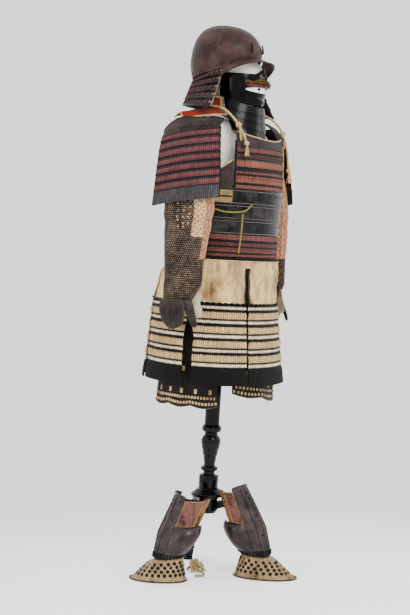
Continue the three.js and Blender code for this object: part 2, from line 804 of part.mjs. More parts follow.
function thumbPlate(side) {
  const columns = 3;
  const rows = 3;
  return wall({
    rows,
    columns,
    at: (r, c, depth) => {
      const t = r / rows;
      const turn = lerp(rad(-20), rad(95), c / columns);
      const radius = lerp(17, 12, t * t) - depth * PLATE;
      const x = 246 + radius * Math.cos(turn);
      return vec(side * x, -76 - radius * Math.sin(turn), lerp(828, 752, t));
    },
  });
}

// The left arm starts further back than the right and swings forward.
const ARMS = [
  { hand: 'r', side: -1, back: 0, swing: 0 },
  { hand: 'l', side: 1, back: 33, swing: rad(5) },
];
for (const { hand, side, back: armBack, swing } of ARMS) {
  const shoulder = new THREE.Group();
  const arm = new THREE.Group();
  shoulder.position.y = armBack;
  arm.position.set(0, armBack, SODE.plate);
  arm.rotation.x = -swing;
  arm.translateZ(-SODE.plate);
  onPost.add(shoulder, arm);
  addMesh(shoulder, `shoulder_guard_plate_${hand}`, sodePlate(side), COLOURS.lacquer, 0.5);
  addMesh(shoulder, `shoulder_guard_lames_${hand}`, sodeLames(side), COLOURS.laced, 0.8);
  addMesh(arm, `arm_sleeve_${hand}`, koteSleeve(side), COLOURS.mail, 0.9);
  addMesh(arm, `hand_plate_${hand}`, handPlate(side), COLOURS.lacquer, 0.5);
  addMesh(arm, `thumb_plate_${hand}`, thumbPlate(side), COLOURS.lacquer, 0.5);
}

// ---------------------------------------------------------------- thigh guards

// A cloth apron for one thigh, with a scalloped hem that may climb by `climb` at its start.
function thighGuard(from, to, climb) {
  const columns = 12;
  const heights = [THIGH.top, 780, 640, 560, THIGH.bottom];
  const rows = heights.length - 1;
  return wall({
    rows,
    columns,
    at: (r, c, depth) => {
      const scallop = r === rows ? 7 * Math.abs(Math.sin((Math.PI * c) / 4)) : 0;
      const rise = climb * (1 - c / columns) * Math.max(0, (r - 1) / (rows - 1));
      const bearing = lerp(from, to, c / columns);
      const section = sectionAt(THIGH_SECTIONS, 'z', heights[r]);
      return ovalPoint(section, bearing, heights[r] - scallop + rise, -depth * CLOTH);
    },
  });
}

addMesh(onPost, 'thigh_guard_r', thighGuard(rad(51), rad(127), 0), COLOURS.indigo, 0.9);
addMesh(onPost, 'thigh_guard_l', thighGuard(rad(38), rad(-64), 42), COLOURS.indigo, 0.9);

// ---------------------------------------------------------------- shin and foot guards

// Each stands over one leg of the base: where its ankle is, which way its toe points, how
// high it is, how far its top leans back and away from the leg's inner side and flares, the
// turn at which its leather ends and how long its sole is against the usual one.
const SHIN_GUARDS = [
  { hand: 'r', inner: 1, x: -165.6, y: 27.2, toe: rad(109), top: 252, back: 64,
    away: 43, flare: 14, leatherEnd: 166, sole: 1 },
  { hand: 'l', inner: -1, x: 40.4, y: -150.4, toe: rad(-69), top: 268, back: 80,
    away: 10, flare: 2, leatherEnd: 140, sole: 1.1 },
];

// A point on the shin guard. Turn 0 is straight ahead and it grows to the inner side.
function shinPoint(guard, turn, z, out) {
  const rise = (z - SHIN.bottom) / (guard.top - SHIN.bottom);
  const { fore, across } = sectionAt(SHIN_SECTIONS, 'rise', rise);
  const flare = out + guard.flare * rise * rise;
  const x = (fore + flare) * Math.cos(turn) - guard.back * rise;
  const y = (across + flare) * Math.sin(turn) - guard.away * rise;
  return vec(x, guard.inner * y, z);
}

function shinPlate(guard) {
  const heights = [guard.top, 230, 195, 150, 105, SHIN.bottom];
  const columns = 9;
  const rows = heights.length - 1;
  return wall({
    rows,
    columns,
    at: (r, c, depth) => {
      const across = c / columns;
      const turn = lerp(rad(-36), rad(80), across);
      const crest = r === 0 ? 10 * Math.sin(Math.PI * across) : 0;
      return shinPoint(guard, turn, heights[r] + crest, 2 - depth * PLATE);
    },
  });
}

function calfPlate(guard) {
  const heights = [160, 142, 114, 88, SHIN.bottom];
  const swellOut = [1, 12, 18, 10, 0];
  const columns = 7;
  return wall({
    rows: heights.length - 1,
    columns,
    at: (r, c, depth) => {
      const turn = lerp(rad(82), rad(186), c / columns);
      const round = Math.sin((Math.PI * c) / columns);
      return shinPoint(guard, turn, heights[r], 2 + swellOut[r] * round - depth * PLATE);
    },
  });
}

// The leather that keeps the plates off the horse, above the calf.
function shinLeather(guard) {
  const heights = [guard.top - 12, 225, 195, 164];
  const columns = 6;
  return wall({
    rows: heights.length - 1,
    columns,
    at: (r, c, depth) => {
      const turn = lerp(rad(82), rad(guard.leatherEnd), c / columns);
      return shinPoint(guard, turn, heights[r], 1 - depth * CLOTH);
    },
  });
}

// The foot cover: a cloth dome from the ankle to the edge of the sole, open below.
function footGuard(guard) {
  const columns = 18;
  const rows = 4;
  return wall({
    rows,
    columns,
    ring: true,
    at: (r, c, depth) => {
      const turn = (2 * Math.PI * c) / columns;
      const t = r / rows;
      const [cos, sin] = [Math.cos(turn), Math.sin(turn)];
      const toe = cos > 0 ? 1 : 0;
      const sole = vec(26 + (toe ? 92 : 84) * guard.sole * cos, (63 - 5 * (1 - cos)) * sin, 0);
      const ankle = vec(37 * cos, 38 * sin, 68 - 6 * cos);
      const out = 1 - Math.cos((Math.PI / 2) * t);
      const down = Math.sin((Math.PI / 2) * t) ** 1.6;
      const point = vec(
        lerp(ankle.x, sole.x, lerp(t, out, 0.35) ** 0.8),
        lerp(ankle.y, sole.y, lerp(t, out, 0.35) ** 0.7),
        lerp(ankle.z, 0, down),
      );
      const inward = vec(point.x - 14, point.y, 0).normalize().multiplyScalar(-CLOTH * depth);
      const below = r === rows ? 0 : -depth * 0.8;
      return point.add(inward).add(vec(0, 0, below));
    },
  });
}

for (const guard of SHIN_GUARDS) {
  const limb = new THREE.Group();
  limb.position.set(guard.x, guard.y, 0);
  limb.rotation.z = guard.toe;
  onFloor.add(limb);
  addMesh(limb, `shin_plate_${guard.hand}`, shinPlate(guard), COLOURS.russet, 0.45, 0.4);
  addMesh(limb, `calf_plate_${guard.hand}`, calfPlate(guard), COLOURS.russet, 0.45, 0.4);
  addMesh(limb, `shin_leather_${guard.hand}`, shinLeather(guard), COLOURS.redLeather, 0.8);
  addMesh(limb, `foot_guard_${guard.hand}`, footGuard(guard), COLOURS.tan, 0.9);
}

// ---------------------------------------------------------------- cords

// Routes are in the frame of the post, except the ties of the shin guards.
const NECK_CORD_R = [
  [-104, 20, 1393], [-116, -20, 1391], [-126, -56, 1382], [-128, -94, 1354], [-127, -113, 1330],
  [-125, -128, 1308], [-121, -135, 1287],
];
const NECK_CORD_L = [
  [104, 20, 1393], [116, -20, 1391], [125, -56, 1382], [124, -92, 1358], [108, -120, 1332],
  [97, -138, 1306], [98, -144, 1284], [112, -141, 1256], [126, -137, 1224],
];
const WAIST_TIE = [
  [-176, -76, 1092], [-162, -98, 1086], [-136, -124, 1086], [-112, -141, 1092], [-94, -150, 1110],
];
const WAIST_TIE_END = [
  [-123, -139, 1082], [-124, -139, 1054], [-124, -137, 1010], [-126, -134, 968],
];
const FOOT_TIE = [
  [-92, -20, 6], [-70, -34, 5], [-48, -22, 6], [-30, 4, 8], [-18, 24, 5],
];

addMesh(onPost, 'neck_cord_r', cordGeometry(NECK_CORD_R, 3.5, 18), COLOURS.cord, 0.8);
addMesh(onPost, 'neck_cord_l', cordGeometry(NECK_CORD_L, 3.5, 22), COLOURS.cord, 0.8);
addMesh(onPost, 'waist_tie', cordGeometry(WAIST_TIE, 2.5, 12), COLOURS.tie, 0.8);
addMesh(onPost, 'waist_tie_end', cordGeometry(WAIST_TIE_END, 2.2, 8), COLOURS.tie, 0.8);
addMesh(onFloor, 'foot_tie', cordGeometry(FOOT_TIE, 4, 12), COLOURS.straw, 0.9);

// The origin is on the floor, under the middle of the whole object's box without its cords.
armour.updateMatrixWorld(true);
const box = new THREE.Box3();
armour.traverse((node) => {
  const isCord = /cord|tie/.test(node.name);
  if (node.isMesh && !isCord) box.expandByObject(node, true);
});
armour.position.set(-(box.min.x + box.max.x) / 2, -(box.min.y + box.max.y) / 2, -box.min.z);

export default armour;
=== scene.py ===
# %% [markdown]
# # A samurai armour on its stand
# The armour is worn by a limbless dress form on a turned black post. Everything here is built
# round the imported CAD frame: metres, +Z up, the wearer faces -Y and the wearer's right is -X.
# First the frame is loaded. The finished model has to stay in it.

# %% Load the frame
import functools
import math
import random

import bpy
import numpy as np
from mathutils import Matrix, Vector


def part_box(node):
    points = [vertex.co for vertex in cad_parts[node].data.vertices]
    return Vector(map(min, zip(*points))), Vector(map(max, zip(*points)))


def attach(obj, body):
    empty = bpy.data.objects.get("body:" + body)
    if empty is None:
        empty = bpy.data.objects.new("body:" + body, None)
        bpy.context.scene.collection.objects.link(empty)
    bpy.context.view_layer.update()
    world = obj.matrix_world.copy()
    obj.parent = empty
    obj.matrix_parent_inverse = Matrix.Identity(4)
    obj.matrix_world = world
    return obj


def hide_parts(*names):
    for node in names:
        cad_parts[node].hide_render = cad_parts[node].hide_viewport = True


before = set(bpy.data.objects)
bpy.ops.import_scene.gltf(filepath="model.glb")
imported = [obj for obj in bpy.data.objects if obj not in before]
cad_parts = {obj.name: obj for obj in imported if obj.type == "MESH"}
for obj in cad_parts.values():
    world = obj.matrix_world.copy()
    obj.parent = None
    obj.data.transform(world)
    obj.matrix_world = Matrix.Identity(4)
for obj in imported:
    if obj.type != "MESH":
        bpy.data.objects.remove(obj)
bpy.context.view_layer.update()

# %% [markdown]
# ## Where things stand
# The post leans forward by 2.5 degrees over its disc, and the shin guards stand upright on the
# floor. So a point is given in millimetres in the frame of what carries it, and one function
# for each carrier turns it into metres in the shared frame.

# %% Frames of the post, the arms and the shin guards
LEAN = math.radians(2.5)
DISC_TOP, POST_FOOT = 256.0, 246.0
LEFT_BACK = [0, 33, 0]  # the left arm and its guard hang further back than the right
ARM_SWING, SHOULDER_HEIGHT = math.radians(5), 1316
low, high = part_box("stand_disc")
AXIS = np.array([(low.x + high.x) * 500, (low.y + high.y) * 500, 0.0])


def points(*columns):
    """Places from their x, y and z, or a cloth's own map from its across and down."""
    return np.stack(columns, 1)


def turned_x(p, angle, pivot_z):
    """Points turned about the wearer's left-right line at a height."""
    y, z = p[:, 1], p[:, 2] - pivot_z
    c, s = math.cos(angle), math.sin(angle)
    return points(p[:, 0], y * c - z * s, y * s + z * c + pivot_z)


def on_post(p):
    p = np.asarray(p, float) + [0, 0, DISC_TOP - POST_FOOT]
    return (turned_x(p, LEAN, DISC_TOP) + AXIS) / 1000


def on_floor(p):
    return (np.asarray(p, float) + AXIS) / 1000


def on_left_guard(p):
    return on_post(np.asarray(p, float) + LEFT_BACK)


def on_left_arm(p):
    return on_post(turned_x(np.asarray(p, float), -ARM_SWING, SHOULDER_HEIGHT) + LEFT_BACK)


GUARDS = {"r": dict(inner=1, x=-165.6, y=27.2, toe=109, top=252, back=64, away=43, flare=14,
                    leather_end=166, sole=1.0),
          "l": dict(inner=-1, x=40.4, y=-150.4, toe=-69, top=268, back=80, away=10, flare=2,
                    leather_end=140, sole=1.1)}


def on_shin(hand):
    guard = GUARDS[hand]
    toe = math.radians(guard["toe"])
    c, s = math.cos(toe), math.sin(toe)

    def place(p):
        p = np.asarray(p, float)
        return on_floor(points(p[:, 0] * c - p[:, 1] * s + guard["x"],
                               p[:, 0] * s + p[:, 1] * c + guard["y"], p[:, 2]))
    return place


print("post axis at", np.round(AXIS, 2))

# %% [markdown]
# ## The camera
# A long lens far away keeps the armour's proportions. The camera looks at the wearer's right
# side from a little ahead of it, almost level, and is rolled by a little under 1.5 degrees.

# %% Camera
VIEW_AZIMUTH, PITCH, ROLL = (math.radians(angle) for angle in (-57, 1.94, 1.4))
CAMERA_HEIGHT, CAMERA_DISTANCE, CAMERA_SIDE = 0.950, 4.250, -0.0225
LENS_MM, SENSOR_MM = 82.1, 36
right = Vector((math.cos(VIEW_AZIMUTH), math.sin(VIEW_AZIMUTH), 0))
ahead = Vector((-math.sin(VIEW_AZIMUTH), math.cos(VIEW_AZIMUTH), 0))
look = ahead * math.cos(PITCH) - Vector((0, 0, 1)) * math.sin(PITCH)
up = right.cross(look)
rolled_right = right * math.cos(ROLL) + up * math.sin(ROLL)
rolled_up = up * math.cos(ROLL) - right * math.sin(ROLL)


def placed(name, data):
    """A new object in the scene."""
    obj = bpy.data.objects.new(name, data)
    bpy.context.scene.collection.objects.link(obj)
    return obj


camera_data = bpy.data.cameras.new("camera")
camera_data.lens = LENS_MM
camera_data.sensor_width = SENSOR_MM
camera = placed("camera", camera_data)
camera_place = Vector(AXIS / 1000) - ahead * CAMERA_DISTANCE + right * CAMERA_SIDE
camera_place.z = CAMERA_HEIGHT
turn = Matrix((rolled_right, rolled_up, -look)).transposed()
camera.matrix_world = Matrix.Translation(camera_place) @ turn.to_4x4()
bpy.context.scene.camera = camera
print("camera at", [round(v, 3) for v in camera_place])

# %% [markdown]
# ## Small tools
# Most of the armour is thin walls bent round a body. Each starts as a grid primitive, whose
# points are then laid on the wall's surface by a function of how far across and how far down
# they are. Solidify gives it its thickness, inwards, and is applied.

# %% Walls from a grid


def deselect():
    if bpy.context.object and bpy.context.object.mode != "OBJECT":
        bpy.ops.object.mode_set(mode="OBJECT")
    bpy.ops.object.select_all(action="DESELECT")


def activate(obj):
    deselect()
    obj.select_set(True)
    bpy.context.view_layer.objects.active = obj


def apply_modifier(obj, kind, **settings):
    activate(obj)
    modifier = obj.modifiers.new(kind.lower(), kind)
    for key, value in settings.items():
        setattr(modifier, key, value)
    bpy.ops.object.modifier_apply(modifier=modifier.name)


def edit_all():
    bpy.ops.object.mode_set(mode="EDIT")
    bpy.ops.mesh.select_all(action="SELECT")


def leave_edit():
    bpy.ops.object.mode_set(mode="OBJECT")


def points_of(obj):
    co = np.empty(len(obj.data.vertices) * 3)
    obj.data.vertices.foreach_get("co", co)
    return co.reshape(-1, 3)


def set_points(obj, co):
    obj.data.vertices.foreach_set("co", np.asarray(co, float).ravel())
    obj.data.update()


def smooth(obj, degrees=38):
    activate(obj)
    bpy.ops.object.shade_smooth_by_angle(angle=math.radians(degrees))


def finish_piece(obj, slot, material, *nodes):
    """Gives a piece its material and its body, and hides the CAD nodes that it stands for."""
    obj.data.materials.clear()
    obj.data.materials.append(material)
    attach(obj, "root")
    if nodes:
        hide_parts(*nodes)
    return obj


def wall(name, columns, heights, at, thick, place=on_post, facing="post", ring=False,
         angle=38):
    """A thin wall on a grid. heights is how many rows, or a list that `at` gets a row of. at(u, h)
    gives points in millimetres and the cloth's own (across, down) in metres."""
    deselect()
    rows = (len(heights) if hasattr(heights, "__len__") else heights + 1) - 1
    bpy.ops.mesh.primitive_grid_add(x_subdivisions=columns, y_subdivisions=rows, size=1)
    obj = bpy.context.object
    obj.name = obj.data.name = name
    co = points_of(obj)
    u, k = co[:, 0] + 0.5, np.rint((0.5 - co[:, 1]) * rows).astype(int)
    h = np.asarray(heights)[k] if hasattr(heights, "__len__") else k / rows
    p, cloth = at(u, h)
    set_points(obj, place(p))
    loop = np.empty(len(obj.data.loops), int)
    obj.data.loops.foreach_get("vertex_index", loop)
    obj.data.uv_layers[0].data.foreach_set("uv", np.asarray(cloth, np.float32)[loop].ravel())
    if ring:
        edit_all()
        bpy.ops.mesh.remove_doubles(threshold=1e-5)
        leave_edit()
    normals = np.array([f.normal for f in obj.data.polygons])
    centres = np.array([f.center for f in obj.data.polygons])
    if facing == "post":
        outward = centres - AXIS / 1000
        outward[:, 2] = 0
    elif facing == "own":
        outward = centres - points_of(obj).mean(0)
    else:
        outward = np.tile(facing, (len(centres), 1))
    if (normals * outward).sum() < 0:
        obj.data.flip_normals()
    apply_modifier(obj, "SOLIDIFY", thickness=thick / 1000, offset=-1, use_even_offset=False)
    smooth(obj, angle)
    return obj


def fitted(surface):
    """Lets a surface be set up first and read later: at = surface(side), then at(u, t)."""
    return lambda *facts: functools.partial(surface, *facts)


def oval(table, bearing, z, out=0.0):
    """Points on an oval round the post. Bearing 0 is ahead and grows to the wearer's right."""
    table = np.asarray(table, float)
    half_x, half_y, centre = (np.interp(z, table[:, 0], table[:, i]) for i in (1, 2, 3))
    return points(-(half_x + out) * np.sin(bearing), centre - (half_y + out) * np.cos(bearing),
                  z + 0 * bearing)


def joined(name, pieces):
    """Several meshes as one piece."""
    deselect()
    for piece in pieces:
        piece.select_set(True)
    bpy.context.view_layer.objects.active = pieces[0]
    if len(pieces) > 1:
        bpy.ops.object.join()
    obj = bpy.context.object
    bpy.ops.object.transform_apply(location=True, rotation=True, scale=True)
    obj.name = obj.data.name = name
    return obj


def many(name, seed_obj, places):
    """One small shape repeated: places is a list of 3x3 axes and a centre, in metres."""
    seed = points_of(seed_obj)
    faces = [tuple(f.vertices) for f in seed_obj.data.polygons]
    co, out = [], []
    for i, (axes, centre) in enumerate(places):
        co.append(seed @ np.asarray(axes).T + centre)
        out += [tuple(v + i * len(seed) for v in f) for f in faces]
    mesh = bpy.data.meshes.new(name)
    mesh.from_pydata(np.concatenate(co).tolist(), [], out)
    obj = placed(name, mesh)
    bpy.data.objects.remove(seed_obj)
    smooth(obj, 50)
    return obj


# %% [markdown]
# ## Tubes
# A cord is a tube along a smooth path. Its section is turned along the way, so that two plies
# show as a slow twist, and its own map runs along and round it for the braid.

# %% Cords


def smooth_path(route, steps):
    """A centripetal curve through the route's points, as the CAD tube follows."""
    p = np.asarray(route, float)
    p = np.vstack([2 * p[0] - p[1], p, 2 * p[-1] - p[-2]])
    out = []
    for i in range(1, len(p) - 2):
        a, b, c, d = p[i - 1:i + 3]
        t0 = 0.0
        t1 = t0 + np.linalg.norm(b - a) ** 0.5
        t2 = t1 + np.linalg.norm(c - b) ** 0.5
        t3 = t2 + np.linalg.norm(d - c) ** 0.5
        for t in np.linspace(t1, t2, steps, endpoint=False):
            ab = (t1 - t) / (t1 - t0) * a + (t - t0) / (t1 - t0) * b
            bc = (t2 - t) / (t2 - t1) * b + (t - t1) / (t2 - t1) * c
            cd = (t3 - t) / (t3 - t2) * c + (t - t2) / (t3 - t2) * d
            abc = (t2 - t) / (t2 - t0) * ab + (t - t0) / (t2 - t0) * bc
            bcd = (t3 - t) / (t3 - t1) * bc + (t - t1) / (t3 - t1) * cd
            out.append((t2 - t) / (t2 - t1) * abc + (t - t1) / (t2 - t1) * bcd)
    return np.array(out + [p[-2]])


PLIES, PLY_TURN = 2, 0.8  # how many plies a cord has, and their turn for each radius along


def tube(name, path, radius, sides=10, twist=0.0, closed=False):
    """A round tube in metres; twist is how deep the plies show, as a share of the radius."""
    path = np.asarray(path, float)
    radius = np.broadcast_to(np.asarray(radius, float), len(path))
    tangent = np.gradient(path, axis=0)
    tangent /= np.linalg.norm(tangent, axis=1)[:, None]
    normal = np.cross(tangent[0], [0.3, 0.1, 0.95])
    along = np.r_[0, np.cumsum(np.linalg.norm(np.diff(path, axis=0), axis=1))]
    co, maps = [], []
    for i, point in enumerate(path):
        normal = normal - tangent[i] * normal.dot(tangent[i])
        normal /= np.linalg.norm(normal)
        side = np.cross(tangent[i], normal)
        for k in range(sides):
            a = 2 * math.pi * k / sides
            spin = PLIES * a + along[i] / radius[i] * PLY_TURN
            r = radius[i] * (1 - twist * (0.5 - 0.5 * math.cos(spin)))
            co.append(point + r * (normal * math.cos(a) + side * math.sin(a)))
            maps.append((along[i], k / sides))
    n = len(path)
    faces = [(i * sides + k, i * sides + (k + 1) % sides, (i + 1) * sides + (k + 1) % sides,
              (i + 1) * sides + k) for i in range(n - 1) for k in range(sides)]
    if closed:
        faces += [((n - 1) * sides + k, (n - 1) * sides + (k + 1) % sides, (k + 1) % sides, k)
                  for k in range(sides)]
    else:
        faces += [tuple(range(sides))[::-1], tuple((n - 1) * sides + k for k in range(sides))]
    mesh = bpy.data.meshes.new(name)
    mesh.from_pydata(np.array(co).tolist(), [], faces)
    layer = mesh.uv_layers.new(name="UVMap")
    loop = [v for f in mesh.polygons for v in f.vertices]
    layer.data.foreach_set("uv", np.asarray(maps, np.float32)[loop].ravel())
    obj = placed(name, mesh)
    smooth(obj, 60)
    return obj


def path_length(path):
    return float(np.linalg.norm(np.diff(path, axis=0), axis=1).sum())


def piping(name, line, radius, finish, slot, sides=8, closed=False):
    """A thin cord, bead or binding along a line, as a finished piece."""
    return finish_piece(tube(name, line, radius, sides, closed=closed), slot, finish)


def line_across(at, place, t, out=0.0, count=60, ends=(0.004, 0.996), closed=False):
    """A line from side to side on a surface, at one depth."""
    u = np.linspace(*ends, count, endpoint=not closed)
    return place(at(u, np.full(count, t), out)[0])


def line_down(at, place, u, out, count, ends):
    """A line from top to bottom on a surface, at one place across."""
    return place(at(np.full(count, u), np.linspace(*ends, count), out)[0])


# %% [markdown]
# ## Finishes
# Each finish is a small net of nodes. This helper adds a node, sets what is constant on its own
# sockets and links the rest, so that a finish reads from top to bottom like a recipe.

# %% A recipe for finishes


def colour(r, g, b):
    """A display colour of 0 to 255 as the light value that the shader wants. The view
    transform lifts darks and pales colours, so both are taken back here."""
    light = [((c / 255 + 0.055) / 1.055) ** 2.4 for c in (r, g, b)]
    grey = sum(light) / 3
    depth, strength = 1.2 * grey ** 0.52, 1 + 0.75 * grey
    strong = [max(0.0, grey + strength * (c - grey)) * depth for c in light]
    return tuple(c * min(1.0, 0.9 / max(strong)) for c in strong) + (1.0,)


DULL_SHINE = 0.18


class Finish:
    def __init__(self, name):
        self.material = bpy.data.materials.new(name)
        self.material.use_nodes = True
        self.tree = self.material.node_tree
        self.shader = self.tree.nodes["Principled BSDF"]

    def feed(self, socket, value):
        """Links a value that a node gives, and sets one that is constant."""
        if isinstance(value, bpy.types.NodeSocket):
            self.tree.links.new(value, socket)
        else:
            socket.default_value = value

    def add(self, kind, inputs=(), out=0, **settings):
        node = self.tree.nodes.new("ShaderNode" + kind)
        for key, value in settings.items():
            setattr(node, key, value)
        for key, value in dict(inputs).items():
            self.feed(node.inputs[key], value)
        return node.outputs[out]

    def split(self, vector):
        """The three parts of a vector."""
        node = self.tree.nodes.new("ShaderNodeSeparateXYZ")
        self.tree.links.new(vector, node.inputs[0])
        return node.outputs

    def spot(self):
        return self.add("TexCoord", out=3)

    def cloth(self):
        """The cloth's own map, and its across and down, in metres."""
        uv = self.add("UVMap", uv_map="UVMap")
        parts = self.split(uv)
        return uv, parts[0], parts[1]

    def scaled(self, vector, scale):
        return self.add("Mapping", {0: vector, 3: scale})

    def noise(self, vector, scale, detail=3.0, rough=0.55):
        return self.add("TexNoise", {"Vector": vector, "Scale": scale, "Detail": detail,
                                     "Roughness": rough})

    def maths(self, operation, a, b=0.0):
        return self.add("Math", {0: a, 1: b}, operation=operation)

    def plus(self, a, b):
        return self.maths("ADD", a, b)

    def minus(self, a, b):
        return self.maths("SUBTRACT", a, b)

    def times(self, a, b):
        return self.maths("MULTIPLY", a, b)

    def over(self, a, b):
        return self.maths("DIVIDE", a, b)

    def wave(self, value):
        """Rises to a half and falls again over every whole step of the value."""
        return self.maths("PINGPONG", self.maths("FRACT", value), 0.5)

    def between(self, value, low, high, new_low=0.0, new_high=1.0):
        return self.add("MapRange", {0: value, 1: low, 2: high, 3: new_low, 4: new_high})

    def mix(self, share, a, b, blend="MIX"):
        node = self.tree.nodes.new("ShaderNodeMix")
        node.data_type, node.blend_type = "RGBA", blend
        for index, value in ((0, share), (6, a), (7, b)):
            self.feed(node.inputs[index], value)
        return node.outputs[2]

    def ramp(self, value, stops, kind="CONSTANT"):
        node = self.tree.nodes.new("ShaderNodeValToRGB")
        node.color_ramp.interpolation = kind
        self.tree.links.new(value, node.inputs[0])
        elements = node.color_ramp.elements
        elements[0].position, elements[0].color = stops[0]
        while len(elements) > 1:
            elements.remove(elements[1])
        for position, shade in stops[1:]:
            elements.new(position).color = shade
        return node.outputs[0]

    def bump(self, height, distance, strength=1.0, normal=None):
        inputs = {"Height": height, "Distance": distance, "Strength": strength}
        if normal is not None:
            inputs["Normal"] = normal
        return self.add("Bump", inputs)

    def surface(self, shade, roughness=0.5, normal=None, **sockets):
        sockets = {"Base Color": shade, "Roughness": roughness, "Specular IOR Level": DULL_SHINE,
                   **sockets}
        if normal is not None:
            sockets["Normal"] = normal
        for key, value in sockets.items():
            self.feed(self.shader.inputs[key.replace("_", " ")], value)
        return self.material


# %% [markdown]
# ### Lacquer
# Black lacquer on iron is glossy, but an old coat is crazed and dusty, so its gloss changes
# from place to place. Russet lacquer is mixed with iron rust and stays dull and granular.

# %% Lacquered iron


def lacquer(name, base, worn, roughness, grain=0.25, coat=0.0, shine=0.14):
    f = Finish(name)
    spot = f.spot()
    cloud = f.noise(spot, 22, 4, 0.6)
    fine = f.noise(spot, 420, 3, 0.7)
    shade = f.mix(f.between(cloud, 0.42, 0.68), base, worn)
    rough = f.between(cloud, 0.35, 0.7, roughness * 0.75, min(1, roughness * 1.35))
    bump = f.bump(f.plus(f.times(fine, grain), cloud), 0.0006, 0.5)
    return f.surface(shade, rough, bump, Specular_IOR_Level=shine, Coat_Weight=coat,
                     Coat_Roughness=0.12)


RUSSET = lacquer("russet lacquer", colour(78, 52, 50), colour(110, 80, 75), 0.42, grain=0.35)
RUSSET_DARK = lacquer("dark russet lacquer", colour(66, 49, 48), colour(104, 84, 80), 0.34,
                      grain=0.35, shine=0.26)
BLACK = lacquer("black lacquer", colour(22, 21, 23), colour(46, 44, 44), 0.22, grain=0.1,
                coat=0.025, shine=0.12)
MASK_BLACK = lacquer("mask lacquer", colour(14, 13, 13), colour(30, 27, 26), 0.14, grain=0.05,
                     shine=0.1)
GLOVE = lacquer("blackened leather", colour(66, 55, 52), colour(98, 84, 79), 0.62, grain=0.8)
WOOD = lacquer("ebonised wood", colour(18, 18, 18), colour(30, 30, 30), 0.25, grain=0.1, coat=0.05)
IRON = lacquer("dark iron", colour(38, 30, 28), colour(70, 52, 46), 0.5, grain=0.6)

# %% [markdown]
# ### Laced rows
# A row of scales hangs from the row above by flat silk braids side by side. The colours change
# with the height, so a table of bands is read from the cloth's own "down". The edges of the
# bands are toothed, because they run from braid to braid.

# %% Laced silk


def laced(name, height, bands, pitch, fade=0.25, roughness=0.75, tooth=0.0012, gap=0.34):
    """bands is a table of (down in metres, display colour) and pitch the width of one braid; gap is how
    dark the painted shade in the grooves between braids gets.
    """
    f = Finish(name)
    uv, across, down = f.cloth()
    hill = f.wave(f.over(across, pitch))
    wander = f.noise(f.scaled(uv, (1.0, 1.0, 1.0)), 90, 2, 0.5)
    edge = f.plus(down, f.times(f.minus(hill, 0.25), tooth * 4))
    edge = f.plus(edge, f.times(f.minus(wander, 0.5), 0.004))
    stops = [(d / height, colour(*c)) for d, c in bands]
    shade = f.ramp(f.over(edge, height), stops)
    worn = f.noise(f.scaled(uv, (0.35, 1.0, 1.0)), 16, 4, 0.65)
    thread = f.noise(f.scaled(uv, (1.0, 0.12, 1.0)), 900, 2, 0.6)
    light = f.times(f.between(worn, 0.3, 0.7, 1 - fade, 1 + fade),
                    f.between(thread, 0.25, 0.75, 0.82, 1.15))
    order = f.plus(f.maths("FLOOR", f.over(across, pitch)),
                    f.times(f.maths("FLOOR", f.times(down, 48)), 17.0))
    each = f.add("TexWhiteNoise", {"W": order}, noise_dimensions="1D")
    light = f.times(light, f.between(each, 0.0, 1.0, 0.74, 1.16))
    # Painted shade: every braid darkens towards its edges, down to gap times its colour in the groove
    # between two braids.
    groove = f.between(hill, 0.0, 0.26, gap, 1.08)
    chevron = f.wave(f.plus(f.times(down, 330), f.times(hill, 2.2)))
    light = f.times(f.times(light, groove),
                    f.between(chevron, 0.0, 0.5, 0.86, 1.06))
    shade = f.mix(1.0, shade, f.add("CombineColor", {0: light, 1: light, 2: light}), "MULTIPLY")
    relief = f.plus(f.between(hill, 0.0, 0.35, 0.0, 1.0), f.times(chevron, 0.35))
    return f.surface(shade, roughness, f.bump(relief, 0.0012, 0.8), Sheen_Weight=0.02)


def leather(name, base, dark, roughness, crease, scale, specks=0.0, full=0.7, folds=0.0):
    """scale is how many clouds a metre has; full is how soon they reach the dark colour; folds is how
    dark the painted shade along the crease lines is.
    """
    f = Finish(name)
    spot = f.spot()
    cloud = f.noise(spot, scale, 5, 0.62)
    streak = f.noise(f.scaled(spot, (1, 1, 0.22)), 46, 3, 0.6)
    grain = f.noise(spot, 700, 2, 0.6)
    share = f.times(f.between(cloud, 0.4, 0.7), f.between(streak, 0.3, 0.75))
    shade = f.mix(f.between(share, 0.0, full), base, dark)
    if specks:
        dots = f.noise(spot, 150, 2, 0.5)
        shade = f.mix(f.between(dots, 0.62, 0.72, 0.0, specks), shade, dark)
    height = f.plus(f.times(grain, 0.25), f.times(streak, crease))
    if folds:
        # Painted shade: thin crease lines are darkened towards the dark colour, as well as sunk in the
        # bump.
        hang = f.noise(f.scaled(spot, (1, 1, 0.3)), 34, 1, 0.4)
        fold = f.between(f.maths("ABSOLUTE", f.minus(hang, 0.5)), 0.0, 0.09, 1.0, 0.0)
        shade = f.mix(f.times(fold, folds), shade, dark)
        height = f.minus(height, f.times(fold, 1.5 * folds))
    return f.surface(shade, roughness, f.bump(height, 0.0012, 0.6), Sheen_Weight=0.1)


DEERSKIN = leather("smoked deerskin", colour(224, 198, 158), colour(146, 112, 76), 0.85,
                   crease=2.4, scale=11.0, specks=0.8, full=0.6, folds=0.4)
FRAYED = leather("frayed orange lining", colour(160, 116, 76), colour(84, 58, 40), 0.9,
                 crease=1.2, scale=40.0, specks=0.6, full=0.4)
TAN = leather("tan cloth", colour(180, 155, 120), colour(124, 98, 72), 0.9,
              crease=0.9, scale=24.0, specks=0.5, full=0.5, folds=0.35)
PIPING = leather("cream piping", colour(218, 184, 146), colour(150, 110, 80), 0.8,
                 crease=0.5, scale=60.0)
EDGING = leather("dark binding", colour(104, 92, 68), colour(60, 52, 40), 0.85,
                 crease=0.5, scale=40.0)

